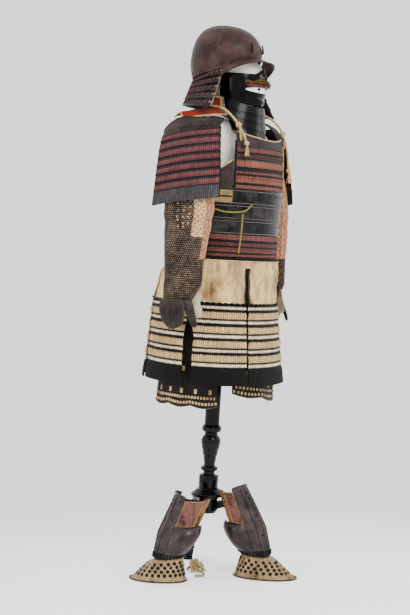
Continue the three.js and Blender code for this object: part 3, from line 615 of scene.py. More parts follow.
# %% [markdown]
# ### Cloth
# Plain cloth has a fine over-and-under weave. Two crossed waves give it, and a little noise
# makes the yarns uneven. The wool of the collar is the same with a softer, felted surface.

# %% Woven cloth


def woven(name, base, dark, yarn=0.0009, roughness=0.9, fade=0.25, sheen=0.06):
    f = Finish(name)
    spot = f.spot()
    x, y, z = f.split(spot)
    warp = f.wave(f.over(f.plus(x, y), yarn * 2))
    weft = f.wave(f.over(z, yarn * 2))
    cloud = f.noise(spot, 18, 4, 0.6)
    shade = f.mix(f.between(cloud, 0.5 - fade, 0.5 + fade), base, dark)
    height = f.plus(f.times(warp, weft), f.noise(spot, 300, 2, 0.6))
    return f.surface(shade, roughness, f.bump(height, 0.0006, 0.5), Sheen_Weight=sheen)


FORM_CLOTH = woven("white form cloth", colour(250, 247, 242), colour(240, 235, 228), 0.0006)
WOOL = woven("red wool", colour(184, 68, 52), colour(134, 46, 38), 0.0012, 0.95, 0.2, 0.05)
BRISTLE = woven("bristle", colour(150, 124, 84), colour(92, 72, 48), 0.0006, 0.8, 0.2, 0.0)
LIP = lacquer("red lacquer", colour(160, 76, 68), colour(116, 50, 46), 0.35, grain=0.1,
              coat=0.025)
TEETH = lacquer("white lacquer", colour(238, 236, 230), colour(222, 218, 208), 0.3, grain=0.05,
                coat=0.05)


def braid_finish(name, base, dark, pitch=0.004):
    """Cord: the plies run round and along the tube's own map."""
    f = Finish(name)
    _, along, round_it = f.cloth()
    ply = f.wave(f.plus(f.over(along, pitch), f.times(round_it, 2.0)))
    cloud = f.noise(f.spot(), 60, 3, 0.6)
    # Painted shade: the colour goes dark in the groove between two plies.
    shade = f.mix(f.times(f.between(ply, 0.0, 0.22, 1.0, 0.0),
                          f.between(cloud, 0.3, 0.7, 0.4, 1.0)), base, dark)
    return f.surface(shade, 0.75, f.bump(ply, 0.0012, 0.8), Sheen_Weight=0.03)


SILK_CORD = braid_finish("gold silk cord", colour(210, 186, 142), colour(132, 102, 62))
GREEN_CORD = braid_finish("yellow green cord", colour(166, 154, 84), colour(104, 94, 44))
STRAW = braid_finish("straw tie", colour(188, 168, 130), colour(104, 84, 58), 0.006)
BLACK_CORD = braid_finish("black cord", colour(34, 30, 30), colour(14, 12, 12), 0.003)
print("finishes", len(bpy.data.materials))

# %% [markdown]
# ## Cords
# The helmet's cords are tied at the wearer's collar bones: each runs from behind the collar,
# over the shoulder and down to a knot on the breast. Loose cords are limp silk, so they lie on
# what is under them. Their routes are the CAD tubes' own.

# %% Neck cords, waist tie and straw tie
NECK_CORD_R = [(-104, 20, 1393), (-116, -20, 1391), (-126, -56, 1382), (-128, -94, 1354),
               (-127, -113, 1330), (-125, -128, 1308), (-121, -135, 1287)]
NECK_CORD_L = [(104, 20, 1393), (116, -20, 1391), (125, -56, 1382), (124, -92, 1358),
               (108, -120, 1332), (97, -138, 1306), (98, -144, 1284), (112, -141, 1256),
               (126, -137, 1224)]
WAIST_TIE = [(-176, -76, 1092), (-162, -98, 1086), (-136, -124, 1086), (-112, -141, 1092),
             (-94, -150, 1110)]
WAIST_TIE_END = [(-123, -139, 1082), (-124, -139, 1054), (-124, -137, 1010), (-126, -134, 968)]
STRAW_TIE = [(-92, -20, 6), (-70, -34, 5), (-48, -22, 6), (-30, 4, 8), (-18, 24, 5)]

cords = {}
for node, route, place, radius, finish, slot, far_end, lay in (
        ("neck_cord_r", NECK_CORD_R, on_post, 3.5, SILK_CORD, "silk_cord", "knot", "hanging"),
        ("neck_cord_l", NECK_CORD_L, on_post, 3.5, SILK_CORD, "silk_cord", "knot", "hanging"),
        ("waist_tie", WAIST_TIE, on_post, 2.5, GREEN_CORD, "green_cord", "object", "hanging"),
        ("waist_tie_end", WAIST_TIE_END, on_post, 2.2, GREEN_CORD, "green_cord", "bare", "hanging"),
        ("foot_tie", STRAW_TIE, on_floor, 4.0, STRAW, "straw", "bare", "loose")):
    path = place(smooth_path(route, 10))
    piece = tube(node + "_braid", path, radius / 1000, 12, 0.2)
    finish_piece(piece, slot, finish, node)
    cords[node] = dict(piece=piece, path=path, radius=radius, far_end=far_end, lay=lay)
    print(node, round(path_length(path), 4), "m")

# %% [markdown]
# ## The stand
# The post was turned on a lathe. The same shape comes from one circle, whose face is extruded
# upwards and scaled at every step of the turner's outline. It is then laid on the leaning post.

# %% Turned post and disc


def turned(name, outline, place, segments=56):
    """outline is (radius, height) in millimetres from the foot up."""
    deselect()
    radius, z = outline[0]
    bpy.ops.mesh.primitive_circle_add(vertices=segments, radius=radius, location=(0, 0, z),
                                      fill_type="NGON")
    obj = bpy.context.object
    bpy.ops.object.transform_apply(location=True)
    obj.name = obj.data.name = name
    edit_all()
    for next_radius, next_z in outline[1:]:
        bpy.ops.mesh.extrude_region_move(TRANSFORM_OT_translate={"value": (0, 0, next_z - z)})
        share = next_radius / radius
        bpy.ops.transform.resize(value=(share, share, 1), center_override=(0, 0, next_z))
        radius, z = next_radius, next_z
    bpy.ops.mesh.select_all(action="SELECT")
    bpy.ops.mesh.normals_make_consistent(inside=False)
    leave_edit()
    set_points(obj, place(points_of(obj)))
    smooth(obj, 32)
    return obj


def rounded(outline, steps=5):
    """Eases the outline's swells with a curve and keeps its sharp steps."""
    out = [outline[0]]
    for (r0, z0), (r1, z1) in zip(outline, outline[1:]):
        count = steps if z1 - z0 > 6 and abs(r1 - r0) > 0.5 else 1
        for i in range(1, count + 1):
            t = i / count
            out.append((r0 + (r1 - r0) * (3 * t * t - 2 * t ** 3), z0 + (z1 - z0) * t))
    return out


POST_OUTLINE = [(29.0, 247.2), (29.5, 248), (29.5, 285), (28.5, 287.4), (25, 289.4), (17.5, 291),
                (16.8, 296), (17.5, 300), (22, 301.4), (25, 304), (25.8, 308), (25, 312),
                (21, 314.6), (17, 316), (16.6, 320), (19, 338), (23.5, 360), (27, 374),
                (29.2, 388), (29, 396), (26, 404), (21.4, 409), (20, 412), (20, 417), (22, 419.4),
                (27, 421.6), (29.2, 426), (29.6, 430), (29, 434), (26, 439), (23, 442),
                (22.5, 445), (22.5, 903.6)]
post = turned("turned_post", rounded(POST_OUTLINE), on_post)
finish_piece(post, "black_wood", WOOD, "stand_post")
DISC_OUTLINE = [(46.5, 232.6), (49.5, 233.6), (51.2, 236.5), (51.4, 239), (50.6, 242),
                (48, 244.2), (44.5, 246.4), (40, 250), (36, 254.4), (34.2, 255.8)]
disc = turned("turned_disc", DISC_OUTLINE, on_floor)
finish_piece(disc, "black_wood", WOOD, "stand_disc")
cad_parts["stand_base"].data.materials.clear()
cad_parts["stand_base"].data.materials.append(WOOD)
print("post faces", len(post.data.polygons))

# %% [markdown]
# ## The dress form
# The form under the armour is a plain padded body with a smooth head. Its CAD solids are
# already right in outline, so a merged copy of each is smoothed by subdivision.

# %% Form


def smoothed_copy(node, name, levels):
    obj = placed(name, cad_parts[node].data.copy())
    activate(obj)
    edit_all()
    bpy.ops.mesh.remove_doubles(threshold=1e-5)
    bpy.ops.mesh.tris_convert_to_quads(face_threshold=1.2, shape_threshold=1.2)
    leave_edit()
    apply_modifier(obj, "SUBSURF", levels=levels, render_levels=levels)
    smooth(obj, 60)
    return obj


for node in ("form_torso", "form_head"):
    finish_piece(smoothed_copy(node, node + "_cloth", 2), "form_cloth", FORM_CLOTH, node)

# %% [markdown]
# ## The helmet
# The bowl is a plain russet one, hammered from a few plates and lacquered over. A grid is laid
# on it as a ring whose first row closes at the crown. The peak in front is a bent plate.

# %% Bowl and peak
CROWN_Z, BOWL_X, BOWL_Y, BOWL_BACK = 1643.0, 100.0, 109.0, 28.0
RIM_FRONT, RIM_BACK = 1542.0, 1479.0
PROFILE = np.array([(1, 0, 18), (0.995, 0.16, 18), (0.965, 0.37, 16), (0.86, 0.65, 12),
                    (0.66, 0.87, 7), (0.4, 0.985, 2), (0.2, 1, 0), (0, 0.955, -2)])


def rim_height(bearing):
    return RIM_BACK + (RIM_FRONT - RIM_BACK) * ((1 + np.cos(bearing)) / 2) ** 1.8


def eased(t, column):
    """A smooth reading of the bowl's profile, between its rows."""
    k = t * (len(PROFILE) - 1)
    i = np.clip(k.astype(int), 0, len(PROFILE) - 2)
    s = k - i
    row = PROFILE[:, column]
    a, b = row[i], row[i + 1]
    before, after = row[np.maximum(i - 1, 0)], row[np.minimum(i + 2, len(row) - 1)]
    ma, mb = (b - before) / 2, (after - a) / 2
    ma = np.where(i == 0, (b - a) * (1.0 if column else 0.0), ma)
    return ((2 * s ** 3 - 3 * s ** 2 + 1) * a + (s ** 3 - 2 * s ** 2 + s) * ma
            + (-2 * s ** 3 + 3 * s ** 2) * b + (s ** 3 - s ** 2) * mb)


def bowl_at(u, t, out=0.0):
    bearing = 2 * math.pi * u
    height, fullness, back = eased(t, 0), np.maximum(eased(t, 1), 0), eased(t, 2)
    fullness = np.where(t == 0, 0, fullness)
    rim = rim_height(bearing)
    z = rim + (CROWN_Z - rim) * height + out * (1 - fullness)
    seam = 0.7 * np.exp(-((np.abs(np.sin(bearing)) / 0.03) ** 2)) * (t > 0.1)
    return points(-(BOWL_X * fullness + out * fullness + seam) * np.sin(bearing),
                  BOWL_BACK + back - (BOWL_Y * fullness + out * fullness + seam) * np.cos(bearing),
                  z), points(u * 0.6, t * 0.2)


bowl = wall("helmet_bowl_shell", 72, 36, bowl_at, 2.4, facing="own", ring=True, angle=50)
finish_piece(bowl, "russet_iron", RUSSET, "helmet_bowl")


PEAK_HALF, PEAK_FRONT, PEAK_SIDE, PEAK_REACH = math.radians(66), 1530, 1478, 40


def brim_at(u, t, out=0.0):
    bearing = (2 * u - 1) * PEAK_HALF
    swing = np.abs(2 * u - 1)
    start = np.maximum(rim_height(bearing) + 3, 1486)
    edge = PEAK_FRONT + (PEAK_SIDE - PEAK_FRONT) * swing ** 2.4
    reach = 1.2 + PEAK_REACH * t * (1 - 0.35 * swing ** 2)
    lip = 1.6 * np.clip((t - 0.9) / 0.1, 0, 1)
    z = start + (edge - start) * t ** 1.3 + out + lip
    return points(-(BOWL_X + reach) * np.sin(bearing),
                  BOWL_BACK - (BOWL_Y + reach) * np.cos(bearing), z), \
        points(u * 0.3, t * 0.05)


brim = wall("helmet_peak", 60, 14, brim_at, 1.8, facing=(0, 0, 1))
edge_path = line_across(brim_at, on_post, 0.985, -0.8, 90, (0.002, 0.998))
brim = joined("helmet_peak", [brim, tube("peak_edge", edge_path, 0.0019, 8)])
finish_piece(brim, "russet_iron", RUSSET, "helmet_brim")
print("helmet", len(bowl.data.polygons), "faces")

# %% [markdown]
# On the front of the bowl two hooks hold a crest, and ten rivets hold the neck guard. A hook
# is a short tapered tube that leans back. A rivet is a low dome.

# %% Crest hooks and rivets


def box_piece(name, size, bevel=0.0006):
    deselect()
    bpy.ops.mesh.primitive_cube_add(size=1)
    obj = bpy.context.object
    obj.scale = size
    bpy.ops.object.transform_apply(scale=True)
    obj.name = name
    if bevel:
        apply_modifier(obj, "BEVEL", width=bevel, segments=2)
    return obj


def hook(side):
    """One crest hook: a tapered tongue that stands off the bowl."""
    t = np.linspace(0, 1, 14)
    y = -80 + 5 * t - 2 * np.sin(t * math.pi)
    z = 1560 + 27 * t
    line = on_post(points(np.full(14, side * 30.0), y, z))
    return tube("hook", line, 0.0034 - 0.0012 * t, 8)


for hand, side in (("r", -1), ("l", 1)):
    finish_piece(hook(side), "russet_iron", IRON, "crest_prong_" + hand).name = "crest_hook_" + hand


def dome_seed(radius, height, rings=3, around=10):
    """A rivet head: a sphere primitive cut in half by deleting what lies below."""
    deselect()
    bpy.ops.mesh.primitive_uv_sphere_add(segments=around, ring_count=rings * 2, radius=radius)
    obj = bpy.context.object
    edit_all()
    bpy.ops.mesh.bisect(plane_co=(0, 0, 0), plane_no=(0, 0, 1), clear_inner=True, use_fill=True)
    leave_edit()
    co = points_of(obj)
    co[:, 2] *= height / radius
    set_points(obj, co)
    return obj


def axes_from(normal, up=(0, 0, 1)):
    n = np.asarray(normal, float)
    n = n / np.linalg.norm(n)
    side = np.cross(up, n)
    side /= np.linalg.norm(side)
    return points(side, np.cross(n, side), n)


def on_surface(at, place, u, t, out=0.0, du=0.004):
    """The place and the outward normal of a point on a surface function."""
    def p(uu, tt, o=0.0):
        return place(at(np.array([uu]), np.array([tt]), o)[0])[0]
    centre = p(u, t, out)
    a, b = p(u + du, t) - p(u - du, t), p(u, min(t + 0.01, 1)) - p(u, max(t - 0.01, 0))
    normal = np.cross(a, b)
    normal /= np.linalg.norm(normal)
    if normal.dot(p(u, t, 4.0) - p(u, t)) < 0:
        normal = -normal
    return axes_from(normal), centre


RIVET_PLACES = (0.13, 0.21, 0.29, 0.37, 0.45, 0.55, 0.63, 0.71, 0.79, 0.87)
rivets = [on_surface(bowl_at, on_post, u, 0.94) for u in RIVET_PLACES]
helmet_rivets = many("helmet_rivets", dome_seed(0.0032, 0.002), rivets)
finish_piece(helmet_rivets, "russet_iron", RUSSET)

# %% [markdown]
# ## The neck guard
# Five lacquered rows hang from the bowl's rim. They are laced sparsely: pairs of short cords
# stand side by side, a finger's width apart, with the dark plate showing between them.

# %% Neck guard
EDGE_BEARING = math.radians(62)
NECK_ROWS, NECK_BOTTOM = 5, 1386.0


def stepped(count, per, step, dip=0.18):
    """Rows that overlap like scales: (down from 0 to 1, out in millimetres)."""
    out = []
    for i in range(count):
        for j in range(per + 1):
            t = j / per
            tuck = 0.035 / count * 2 if j == 0 and i else 0
            out.append(((i + t) / count - tuck, step * t ** 1.4))
        if i < count - 1:
            out.append(((i + 1) / count + 0.0005, step * 0.9))
            out.append(((i + 1) / count - 0.004, step * dip))
    return np.array(out)


def neck_point(bearing, fall, out):
    flare = fall ** 0.9
    deep = np.where(np.cos(bearing) > 0, 138.0, 121.0)
    half_x, half_y = 90 + 96 * flare, 96 + (deep - 96) * flare
    centre = (BOWL_BACK - 2) * (1 - fall)
    top, bottom = rim_height(bearing) - 1, NECK_BOTTOM - 8 * np.cos(bearing)
    return points(-(half_x + out) * np.sin(bearing), centre - (half_y + out) * np.cos(bearing),
                  top + (bottom - top) * fall)


def neck_bearing(u, fall):
    edge = EDGE_BEARING + math.radians(9) * fall
    return edge + (2 * math.pi - 2 * edge) * u


def neck_at(u, row):
    return (neck_point(neck_bearing(u, row[:, 0]), row[:, 0], row[:, 1]),
            points(u * 0.56, row[:, 0] * 0.11))


def neck_surface(u, fall, out=0.0):
    lame = np.clip((fall * NECK_ROWS) % 1.0, 0, 1)
    return neck_point(neck_bearing(u, fall), fall, 3.4 * lame ** 1.4 + out), None


neck = wall("neck_guard_rows", 72, stepped(NECK_ROWS, 5, 3.4), neck_at, 2.6)
NECK_LACQUER = lacquer("neck guard lacquer", colour(50, 43, 45), colour(94, 80, 79), 0.42, grain=0.3)
finish_piece(neck, "dark_laced", NECK_LACQUER, "neck_guard")


def short_braid(length, width, thick):
    """A flat silk braid over a row: a box, domed along its length and narrowed towards its ends."""
    obj = box_piece("braid", (width, length, thick), bevel=0)
    edit_all()
    bpy.ops.mesh.subdivide(number_cuts=1)
    leave_edit()
    co = points_of(obj)
    co[:, 2] += thick * 0.9 * (1 - (2 * co[:, 1] / length) ** 2)
    co[:, 0] *= 1 - 0.25 * (2 * co[:, 1] / length) ** 2
    set_points(obj, co)
    return obj


LACE_RED = woven("faded red silk", colour(132, 78, 66), colour(84, 52, 48), 0.0005, 0.8)
LACE_PALE = woven("pale silk", colour(196, 170, 142), colour(140, 108, 84), 0.0005, 0.8)
PAIRS_ROUND, STITCHES_DOWN = 30, 22
pairs, pale = [], []
for row in range(NECK_ROWS):
    for i in range(PAIRS_ROUND):
        for shift_u in (-0.0046, 0.0046):
            u = (i + 0.5) / PAIRS_ROUND + shift_u
            spot = on_surface(neck_surface, on_post, u, (row + 0.42) / NECK_ROWS, 0.6)
            (pale if i in (0, PAIRS_ROUND - 1) else pairs).append(spot)
for u in (0.006, 0.994):
    for k in range(STITCHES_DOWN):
        fall = 0.03 + 0.94 * k / (STITCHES_DOWN - 1)
        pale.append(on_surface(neck_surface, on_post, u, fall, 0.8))
lacing = many("neck_guard_lacing", short_braid(0.016, 0.0027, 0.0014), pairs)
finish_piece(lacing, "dark_laced", LACE_RED)
stitches = many("neck_guard_edge_stitches", short_braid(0.0042, 0.0036, 0.0016), pale)
finish_piece(stitches, "dark_laced", LACE_PALE)
print("neck guard lacings", len(pairs), "edge stitches", len(pale))

# %% [markdown]
# ## The face mask
# The half mask covers the face from the bridge of the nose to the chin. It is one hammered
# plate: a grid laid on an oval, with swells for nose, cheeks, lips and chin and folds round
# the mouth. The mouth is cut through with a boolean and shows white teeth behind it.

# %% Mask
MASK_TABLE = [(1380, 80, 76, -25), (1520, 80, 76, -25)]
MOUTH_Z = 1449.0


def swell(x, centre, spread):
    return np.exp(-(((x - centre) / spread) ** 2))


def mask_point(bearing, z, out):
    deg = np.degrees(bearing)
    side = np.abs(deg)
    nose = 17 * swell(deg, 0, 9.5) * swell(z, 1483, 15) + 5 * swell(side, 15, 6) * swell(z, 1476, 7)
    nose = nose + 6 * swell(deg, 0, 7) * np.clip((z - 1480) / 30, 0, 1)
    lips = 6 * swell(deg, 0, 34) * swell(z, MOUTH_Z, 20)
    chin = 10 * swell(deg, 0, 22) * swell(z, 1414, 10) - 3 * swell(deg, 0, 30) * swell(z, 1430, 6)
    cheek = 4.5 * swell(side, 42, 16) * swell(z, 1474, 14)
    r = np.hypot((side - 30) * 1.25, z - MOUTH_Z)
    folds = 1.3 * np.cos(r * 0.62) * swell(r, 30, 12) * (side > 24)
    jaw = -7 * np.clip((1440 - z) / 38, 0, 1.3)
    return oval(MASK_TABLE, bearing, z, out + nose + lips + chin + cheek + folds + jaw)


MASK_SIDE, CHEEK_TOP, NOSE_TOP = math.radians(106), 1494, 1513


def mask_at(u, t, out=0.0):
    bearing = (2 * u - 1) * MASK_SIDE
    top = CHEEK_TOP + (NOSE_TOP - CHEEK_TOP) * swell(np.degrees(bearing), 0, 14)
    bottom = 1402 + 26 * (np.abs(2 * u - 1)) ** 2
    z = top + (bottom - top) * t
    return mask_point(bearing, z, out), points(u * 0.25, t * 0.1)


mask = wall("face_mask_plate", 104, 52, mask_at, 1.8, angle=70)
deselect()
bpy.ops.mesh.primitive_cylinder_add(vertices=48, radius=1, depth=1)
cutter = bpy.context.object
co = points_of(cutter)
co = points(co[:, 0] * 57, -105 + co[:, 2] * 90, MOUTH_Z + co[:, 1] * 8.5)
set_points(cutter, on_post(co))
cutter.data.flip_normals()
activate(mask)
modifier = mask.modifiers.new("mouth", "BOOLEAN")
modifier.object, modifier.operation, modifier.solver = cutter, "DIFFERENCE", "EXACT"
bpy.ops.object.modifier_apply(modifier="mouth")
bpy.data.objects.remove(cutter)
smooth(mask, 50)
finish_piece(mask, "black_lacquer", MASK_BLACK, "face_mask")
print("mask faces", len(mask.data.polygons))

# %% [markdown]
# The moustache is bristle set in a row under the nose. One tapered bristle is modelled and
# copied nine hundred times, each turned a little. The lip above the mouth is red lacquer, and
# one tooth is missing.

# %% Moustache, lips and teeth
random.seed(11)


def bristle_seed():
    deselect()
    bpy.ops.mesh.primitive_cone_add(vertices=5, radius1=0.0008, radius2=0.0002, depth=0.017,
                                    location=(0, 0, 0.0085))
    bpy.ops.object.transform_apply(location=True)
    return bpy.context.object


bristles = []
for i in range(900):
    bearing = math.radians(random.uniform(-46, 46))
    z = 1477 - 8 * abs(bearing) ** 1.5 + 2 * math.sin(9 * bearing) + random.uniform(-3.5, 3)
    root = on_post(mask_point(np.array([bearing]), np.array([z]), 0.6))[0]
    ahead_of = on_post(mask_point(np.array([bearing]), np.array([z]), 6.0))[0]
    out_way = (ahead_of - root) / np.linalg.norm(ahead_of - root)
    droop = np.array([-0.75 * math.sin(bearing) + random.uniform(-0.6, 0.6), 0,
                      -random.uniform(0.2, 1.0)])
    way = out_way * random.uniform(0.35, 0.75) + droop
    bristles.append((axes_from(way, (0.2, 1, 0.1)) * random.uniform(0.35, 0.95), root))
moustache = many("moustache_bristles", bristle_seed(), bristles)
finish_piece(moustache, "hair", BRISTLE, "mask_moustache")


def lip_path(z_mid, arch, half, count=60):
    a = np.linspace(-half, half, count)
    z = z_mid + arch * (1 - (a / half) ** 2)
    return a, z


a, z = lip_path(MOUTH_Z + 10.5, 3.0, math.radians(44))
taper = np.sqrt(np.clip(1.02 - (a / a[-1]) ** 4, 0.05, 1))
upper = tube("lip", on_post(mask_point(a, z, 1.2)), 0.0046 * taper, 10)
finish_piece(upper, "black_lacquer", LIP).name = "upper_lip"


def teeth_at(u, t, out=0.0):
    bearing = (2 * u - 1) * math.radians(46)
    z = MOUTH_Z + 11 - 22 * t
    tooth = 0.5 * np.abs(np.sin(u * math.pi * 18)) ** 0.4
    split = -0.8 * swell(t, 0.5, 0.05)
    return (mask_point(bearing, np.full(len(u), MOUTH_Z), -3.2 + tooth + split) * [1, 1, 0]
            + points(0 * z, 0 * z, z)), points(u * 0.12, t * 0.02)


teeth = wall("row_of_teeth", 144, 12, teeth_at, 1.2, angle=60)
finish_piece(teeth, "teeth_white", TEETH, "mask_teeth")
gap = [on_surface(teeth_at, on_post, 0.5 + 11 / 92, 0.42, 0.2)]
finish_piece(many("gap_in_teeth", dome_seed(0.0058, 0.0014, 3, 14), gap), "teeth_white", MASK_BLACK)
print("bristles", len(bristles))

# %% [markdown]
# Under the chin hangs a small apron of four lacquered plates. They are smooth and glossy, with
# a few rivets, and a cream piping runs along the bottom.

# %% Throat guard
THROAT_TOP, THROAT_BOTTOM = 1398.0, 1305.0
THROAT_TABLE = [(1305, 96, 81, -27), (1398, 76, 76, -26), (1424, 71, 72, -26)]


def throat_surface(u, fall, out=0.0, step=None):
    across = 2 * u - 1
    z = THROAT_TOP + (THROAT_BOTTOM - THROAT_TOP) * fall
    bearing = across * (math.radians(96) + math.radians(-32) * fall)
    rise = (26 - 6 * fall) * across ** 2
    lame = 2.5 * ((fall * 4) % 1.0) ** 1.4 if step is None else step
    p = oval(THROAT_TABLE, bearing, z, lame + out)
    p[:, 2] += rise
    return p, points(u * 0.2, fall * 0.08)


throat = wall("throat_plates", 48, stepped(4, 6, 2.5),
              lambda u, row: throat_surface(u, row[:, 0], 0.0, row[:, 1]), 1.6)
finish_piece(throat, "black_lacquer", BLACK, "throat_guard")
dots = [on_surface(throat_surface, on_post, u, (row + 0.35) / 4, 0.2)
        for row in range(1, 4) for u in (0.18, 0.34, 0.5, 0.66, 0.82)]
finish_piece(many("throat_rivets", dome_seed(0.0024, 0.0014), dots), "black_lacquer", BLACK)
line = on_post(throat_surface(np.linspace(0.01, 0.99, 60), np.full(60, 0.995), 1.0, 2.0)[0])
piping("throat_piping", line, 0.0022, PIPING, "black_lacquer")
print("throat guard rivets", len(dots))

# %% [markdown]
# ## Collar and shoulder leaves
# A stiff red collar stands behind the neck, and a padded red leaf lies on each shoulder. Both
# are bound with cream piping, which is a tube along the edge.

# %% Collar and leaves


COLLAR_OPENS = math.radians(76)


def collar_at(u, t, out=0.0):
    bearing = COLLAR_OPENS + (2 * math.pi - 2 * COLLAR_OPENS) * u
    half_x, half_y = 80 + 4 * t + out, 78 + 2 * t + out
    z = 1426 - 42 * t - 6 * np.abs(2 * u - 1) ** 6 * (1 - t)
    return points(-half_x * np.sin(bearing), 6 - half_y * np.cos(bearing), z), \
        points(u * 0.34, t * 0.042)


collar = wall("standing_collar", 64, 8, collar_at, 3)
top_edge = line_across(collar_at, on_post, 0.02, -1.5, 80, (0.003, 0.997))
fore = [line_down(collar_at, on_post, u, -1.5, 10, (0.02, 0.97)) for u in (0.004, 0.996)]
finish_piece(collar, "collar_wool", WOOL, "collar")
collar_edge = np.vstack([fore[0][::-1], top_edge, fore[1]])
piping("collar_piping", collar_edge, 0.0017, PIPING, "collar_wool")


@fitted
def wing_at(side, u, t, out=0.0):
    across = 1 - 2 * u
    half_chord = 52 * np.sqrt(np.clip(1 - (0.97 * t) ** 3, 0, 1))
    x = 94 + 111 * t
    y = 6 + 42 * t * t + across * half_chord
    sag = 1.6 * np.sin(u * 9 + side) * np.sin(t * 5) + 1.0 * np.sin(t * 13 + u * 4)
    z = 1385 - 20 * t * t - 14 * across ** 2 + sag * (1 - across ** 4) + out - 0.6
    return points(side * x, y, z), points(u * 0.1, t * 0.12)


SIDES = (("r", -1), ("l", 1))
for hand, side in SIDES:
    at = wing_at(side)
    leaf = wall("shoulder_leaf_" + hand, 32, 28, at, 3, facing=(0, 0, 1), angle=60)
    n = 40
    edge_u = np.r_[np.zeros(n), np.linspace(0, 1, n)[1:-1], np.ones(n)]
    edge_t = np.r_[np.linspace(0.02, 1, n), np.ones(n - 2), np.linspace(1, 0.02, n)]
    rim = on_post(at(edge_u, edge_t, -1.5)[0])
    finish_piece(leaf, "collar_wool", WOOL, "shoulder_wing_" + hand)
    piping("leaf_piping_" + hand, rim, 0.0021, PIPING, "collar_wool")


@fitted
def strap_at(side, u, t, out=0.0):
    swing = math.radians(-86) + math.radians(172) * t
    ridge = 1.2 * np.sin(math.pi * u)
    x = 86 + 34 * u
    return points(side * x, -6 - (112 + out + ridge) * np.sin(swing),
                  1296 + (75 + out + ridge) * np.cos(swing)), \
        points(u * 0.034, t * 0.3)


STRAP = lacquer("strap leather", colour(58, 46, 47), colour(98, 76, 74), 0.5, grain=0.8)
for hand, side in SIDES:
    strap = wall("shoulder_strap_leather_" + hand, 8, 40, strap_at(side), 2.8, facing=(0, 0, 1))
    finish_piece(strap, "black_lacquer", STRAP, "shoulder_strap_" + hand)
print("collar and straps done")

# %% [markdown]
# ## Laced rows with ribs
# The rows of the breast, waist, back, skirt and shoulder guards share one helper. It lays the
# grid in overlapping steps and raises every braid a little, so the ribs are real geometry, and
# the finish then colours the bands.

# %% Rows helper
MM = 0.001


def banded(total, rows, per, step, hem=None):
    """Heights from 0 to total millimetres: rows of scales, then a hem. Gives (down, out)."""
    table = stepped(rows, per, step)
    body = total if hem is None else total - hem
    out = [(d * body, o) for d, o in table]
    if hem is not None:
        out += [(body + 0.6, step * 0.35), (body + 3.5, 1.0)]
        out += [(body + 3.5 + (hem - 3.5) * k / 4, 1.6 + 1.6 * k / 4) for k in range(1, 5)]
    return np.array(out)


def ribbed(u, width, pitch, depth):
    """Braids side by side: each is a low round rib, in millimetres."""
    phase = (u * width / pitch) % 1.0
    return depth * np.sqrt(np.clip(1 - (2 * phase - 1) ** 2, 0, 1))


CUIRASS = [(934, 182, 137, -14), (1020, 180, 136, -16), (1156, 186, 138, -20),
           (1280, 180, 130, -20), (1320, 172, 122, -18)]
RED, ORANGE, MAROON = (148, 92, 84), (170, 107, 92), (124, 78, 76)
DARK, SPECK, BLACK_BAND = (58, 50, 48), (110, 104, 98), (34, 29, 28)


CUIRASS_RADIUS = 162.0  # the mean one, which turns a bearing into a width


def round_rows(name, top, bottom, from_deg, to_deg, rows, pitch, step=2.5, ribs=True,
               columns=None, thick=3, out0=0.0):
    """Laced rows on the cuirass's ovals, between two bearings."""
    a, b = math.radians(from_deg), math.radians(to_deg)
    width = abs(b - a) * CUIRASS_RADIUS
    heights = banded(top - bottom, rows, 6, step)
    columns = columns or int(width / pitch) * 3

    def at(u, row):
        bearing = a + (b - a) * u
        rib = ribbed(u, width, pitch, 0.7) if ribs else 0
        return (oval(CUIRASS, bearing, top - row[:, 0], row[:, 1] + rib - 0.5 + out0),
                points(u * width * MM, row[:, 0] * MM))
    return wall(name, columns, heights, at, thick)


# %% [markdown]
# ## The breast and the waist
# Narrow bands of red and orange silk alternate with dark ones on the breast. The table gives
# each band's start in shares of the height, and the finish draws them.

# %% Breast, waist and back rows


def shares(total_mm, table):
    return [(share * total_mm * MM, rgb) for share, rgb in table]


CHEST_BANDS = shares(124, [(0, RED), (0.145, BLACK_BAND), (0.2, MAROON), (0.29, DARK),
                           (0.33, SPECK), (0.36, ORANGE), (0.5, DARK), (0.6, RED),
                           (0.655, BLACK_BAND), (0.71, ORANGE), (0.86, BLACK_BAND),
                           (0.925, (162, 98, 84))])
# In the waist rows the black bands are painted shade: they stand where grey dotted bands lie in shade.
WAIST_BANDS = shares(74, [(0, RED), (0.2, BLACK_BAND), (0.29, MAROON), (0.44, BLACK_BAND),
                          (0.52, RED), (0.68, BLACK_BAND), (0.76, (150, 92, 84)),
                          (0.86, (30, 34, 38))])
BACK_BANDS = shares(162, [(i / 8 + d, c) for i in range(8) for d, c in ((0, RED), (0.078, DARK))])

chest_rows = round_rows("breast_rows", 1279.7, 1156, -47, 47, rows=4, pitch=4.8)
chest_silk = laced("breast silk", 0.124, CHEST_BANDS, 0.0048, 0.22)
finish_piece(chest_rows, "red_laced", chest_silk, "chest_lames")
waist_rows = round_rows("waist_rows", 1020.7, 936, -89.6, 89.6, rows=4, pitch=5.0, step=2.0)
waist_silk = laced("waist silk", 0.085, WAIST_BANDS, 0.005, 0.2)
finish_piece(waist_rows, "red_laced", waist_silk, "waist_lames")
back_rows = round_rows("back_rows", 1318, 1157.3, 125, 235, rows=8, pitch=5.0)
back_silk = laced("back silk", 0.161, BACK_BANDS, 0.005, 0.25)
finish_piece(back_rows, "red_laced", back_silk, "back_lames")
print("breast", len(chest_rows.data.polygons), "waist", len(waist_rows.data.polygons))

# %% [markdown]
# ## The smooth plates
# Between breast and waist, and down the lower back, the plates are lacquered without lacing.
# Their overlaps are steps in the wall. Rows of small rivets go round them, and in front fine
# raised beads run along their edges, pale grey as a painted highlight.

# %% Lacquered plates
PLATE_BLACK = lacquer("plate lacquer", colour(32, 30, 33), colour(88, 82, 79), 0.28, grain=0.2,
                      coat=0.025, shine=0.13)


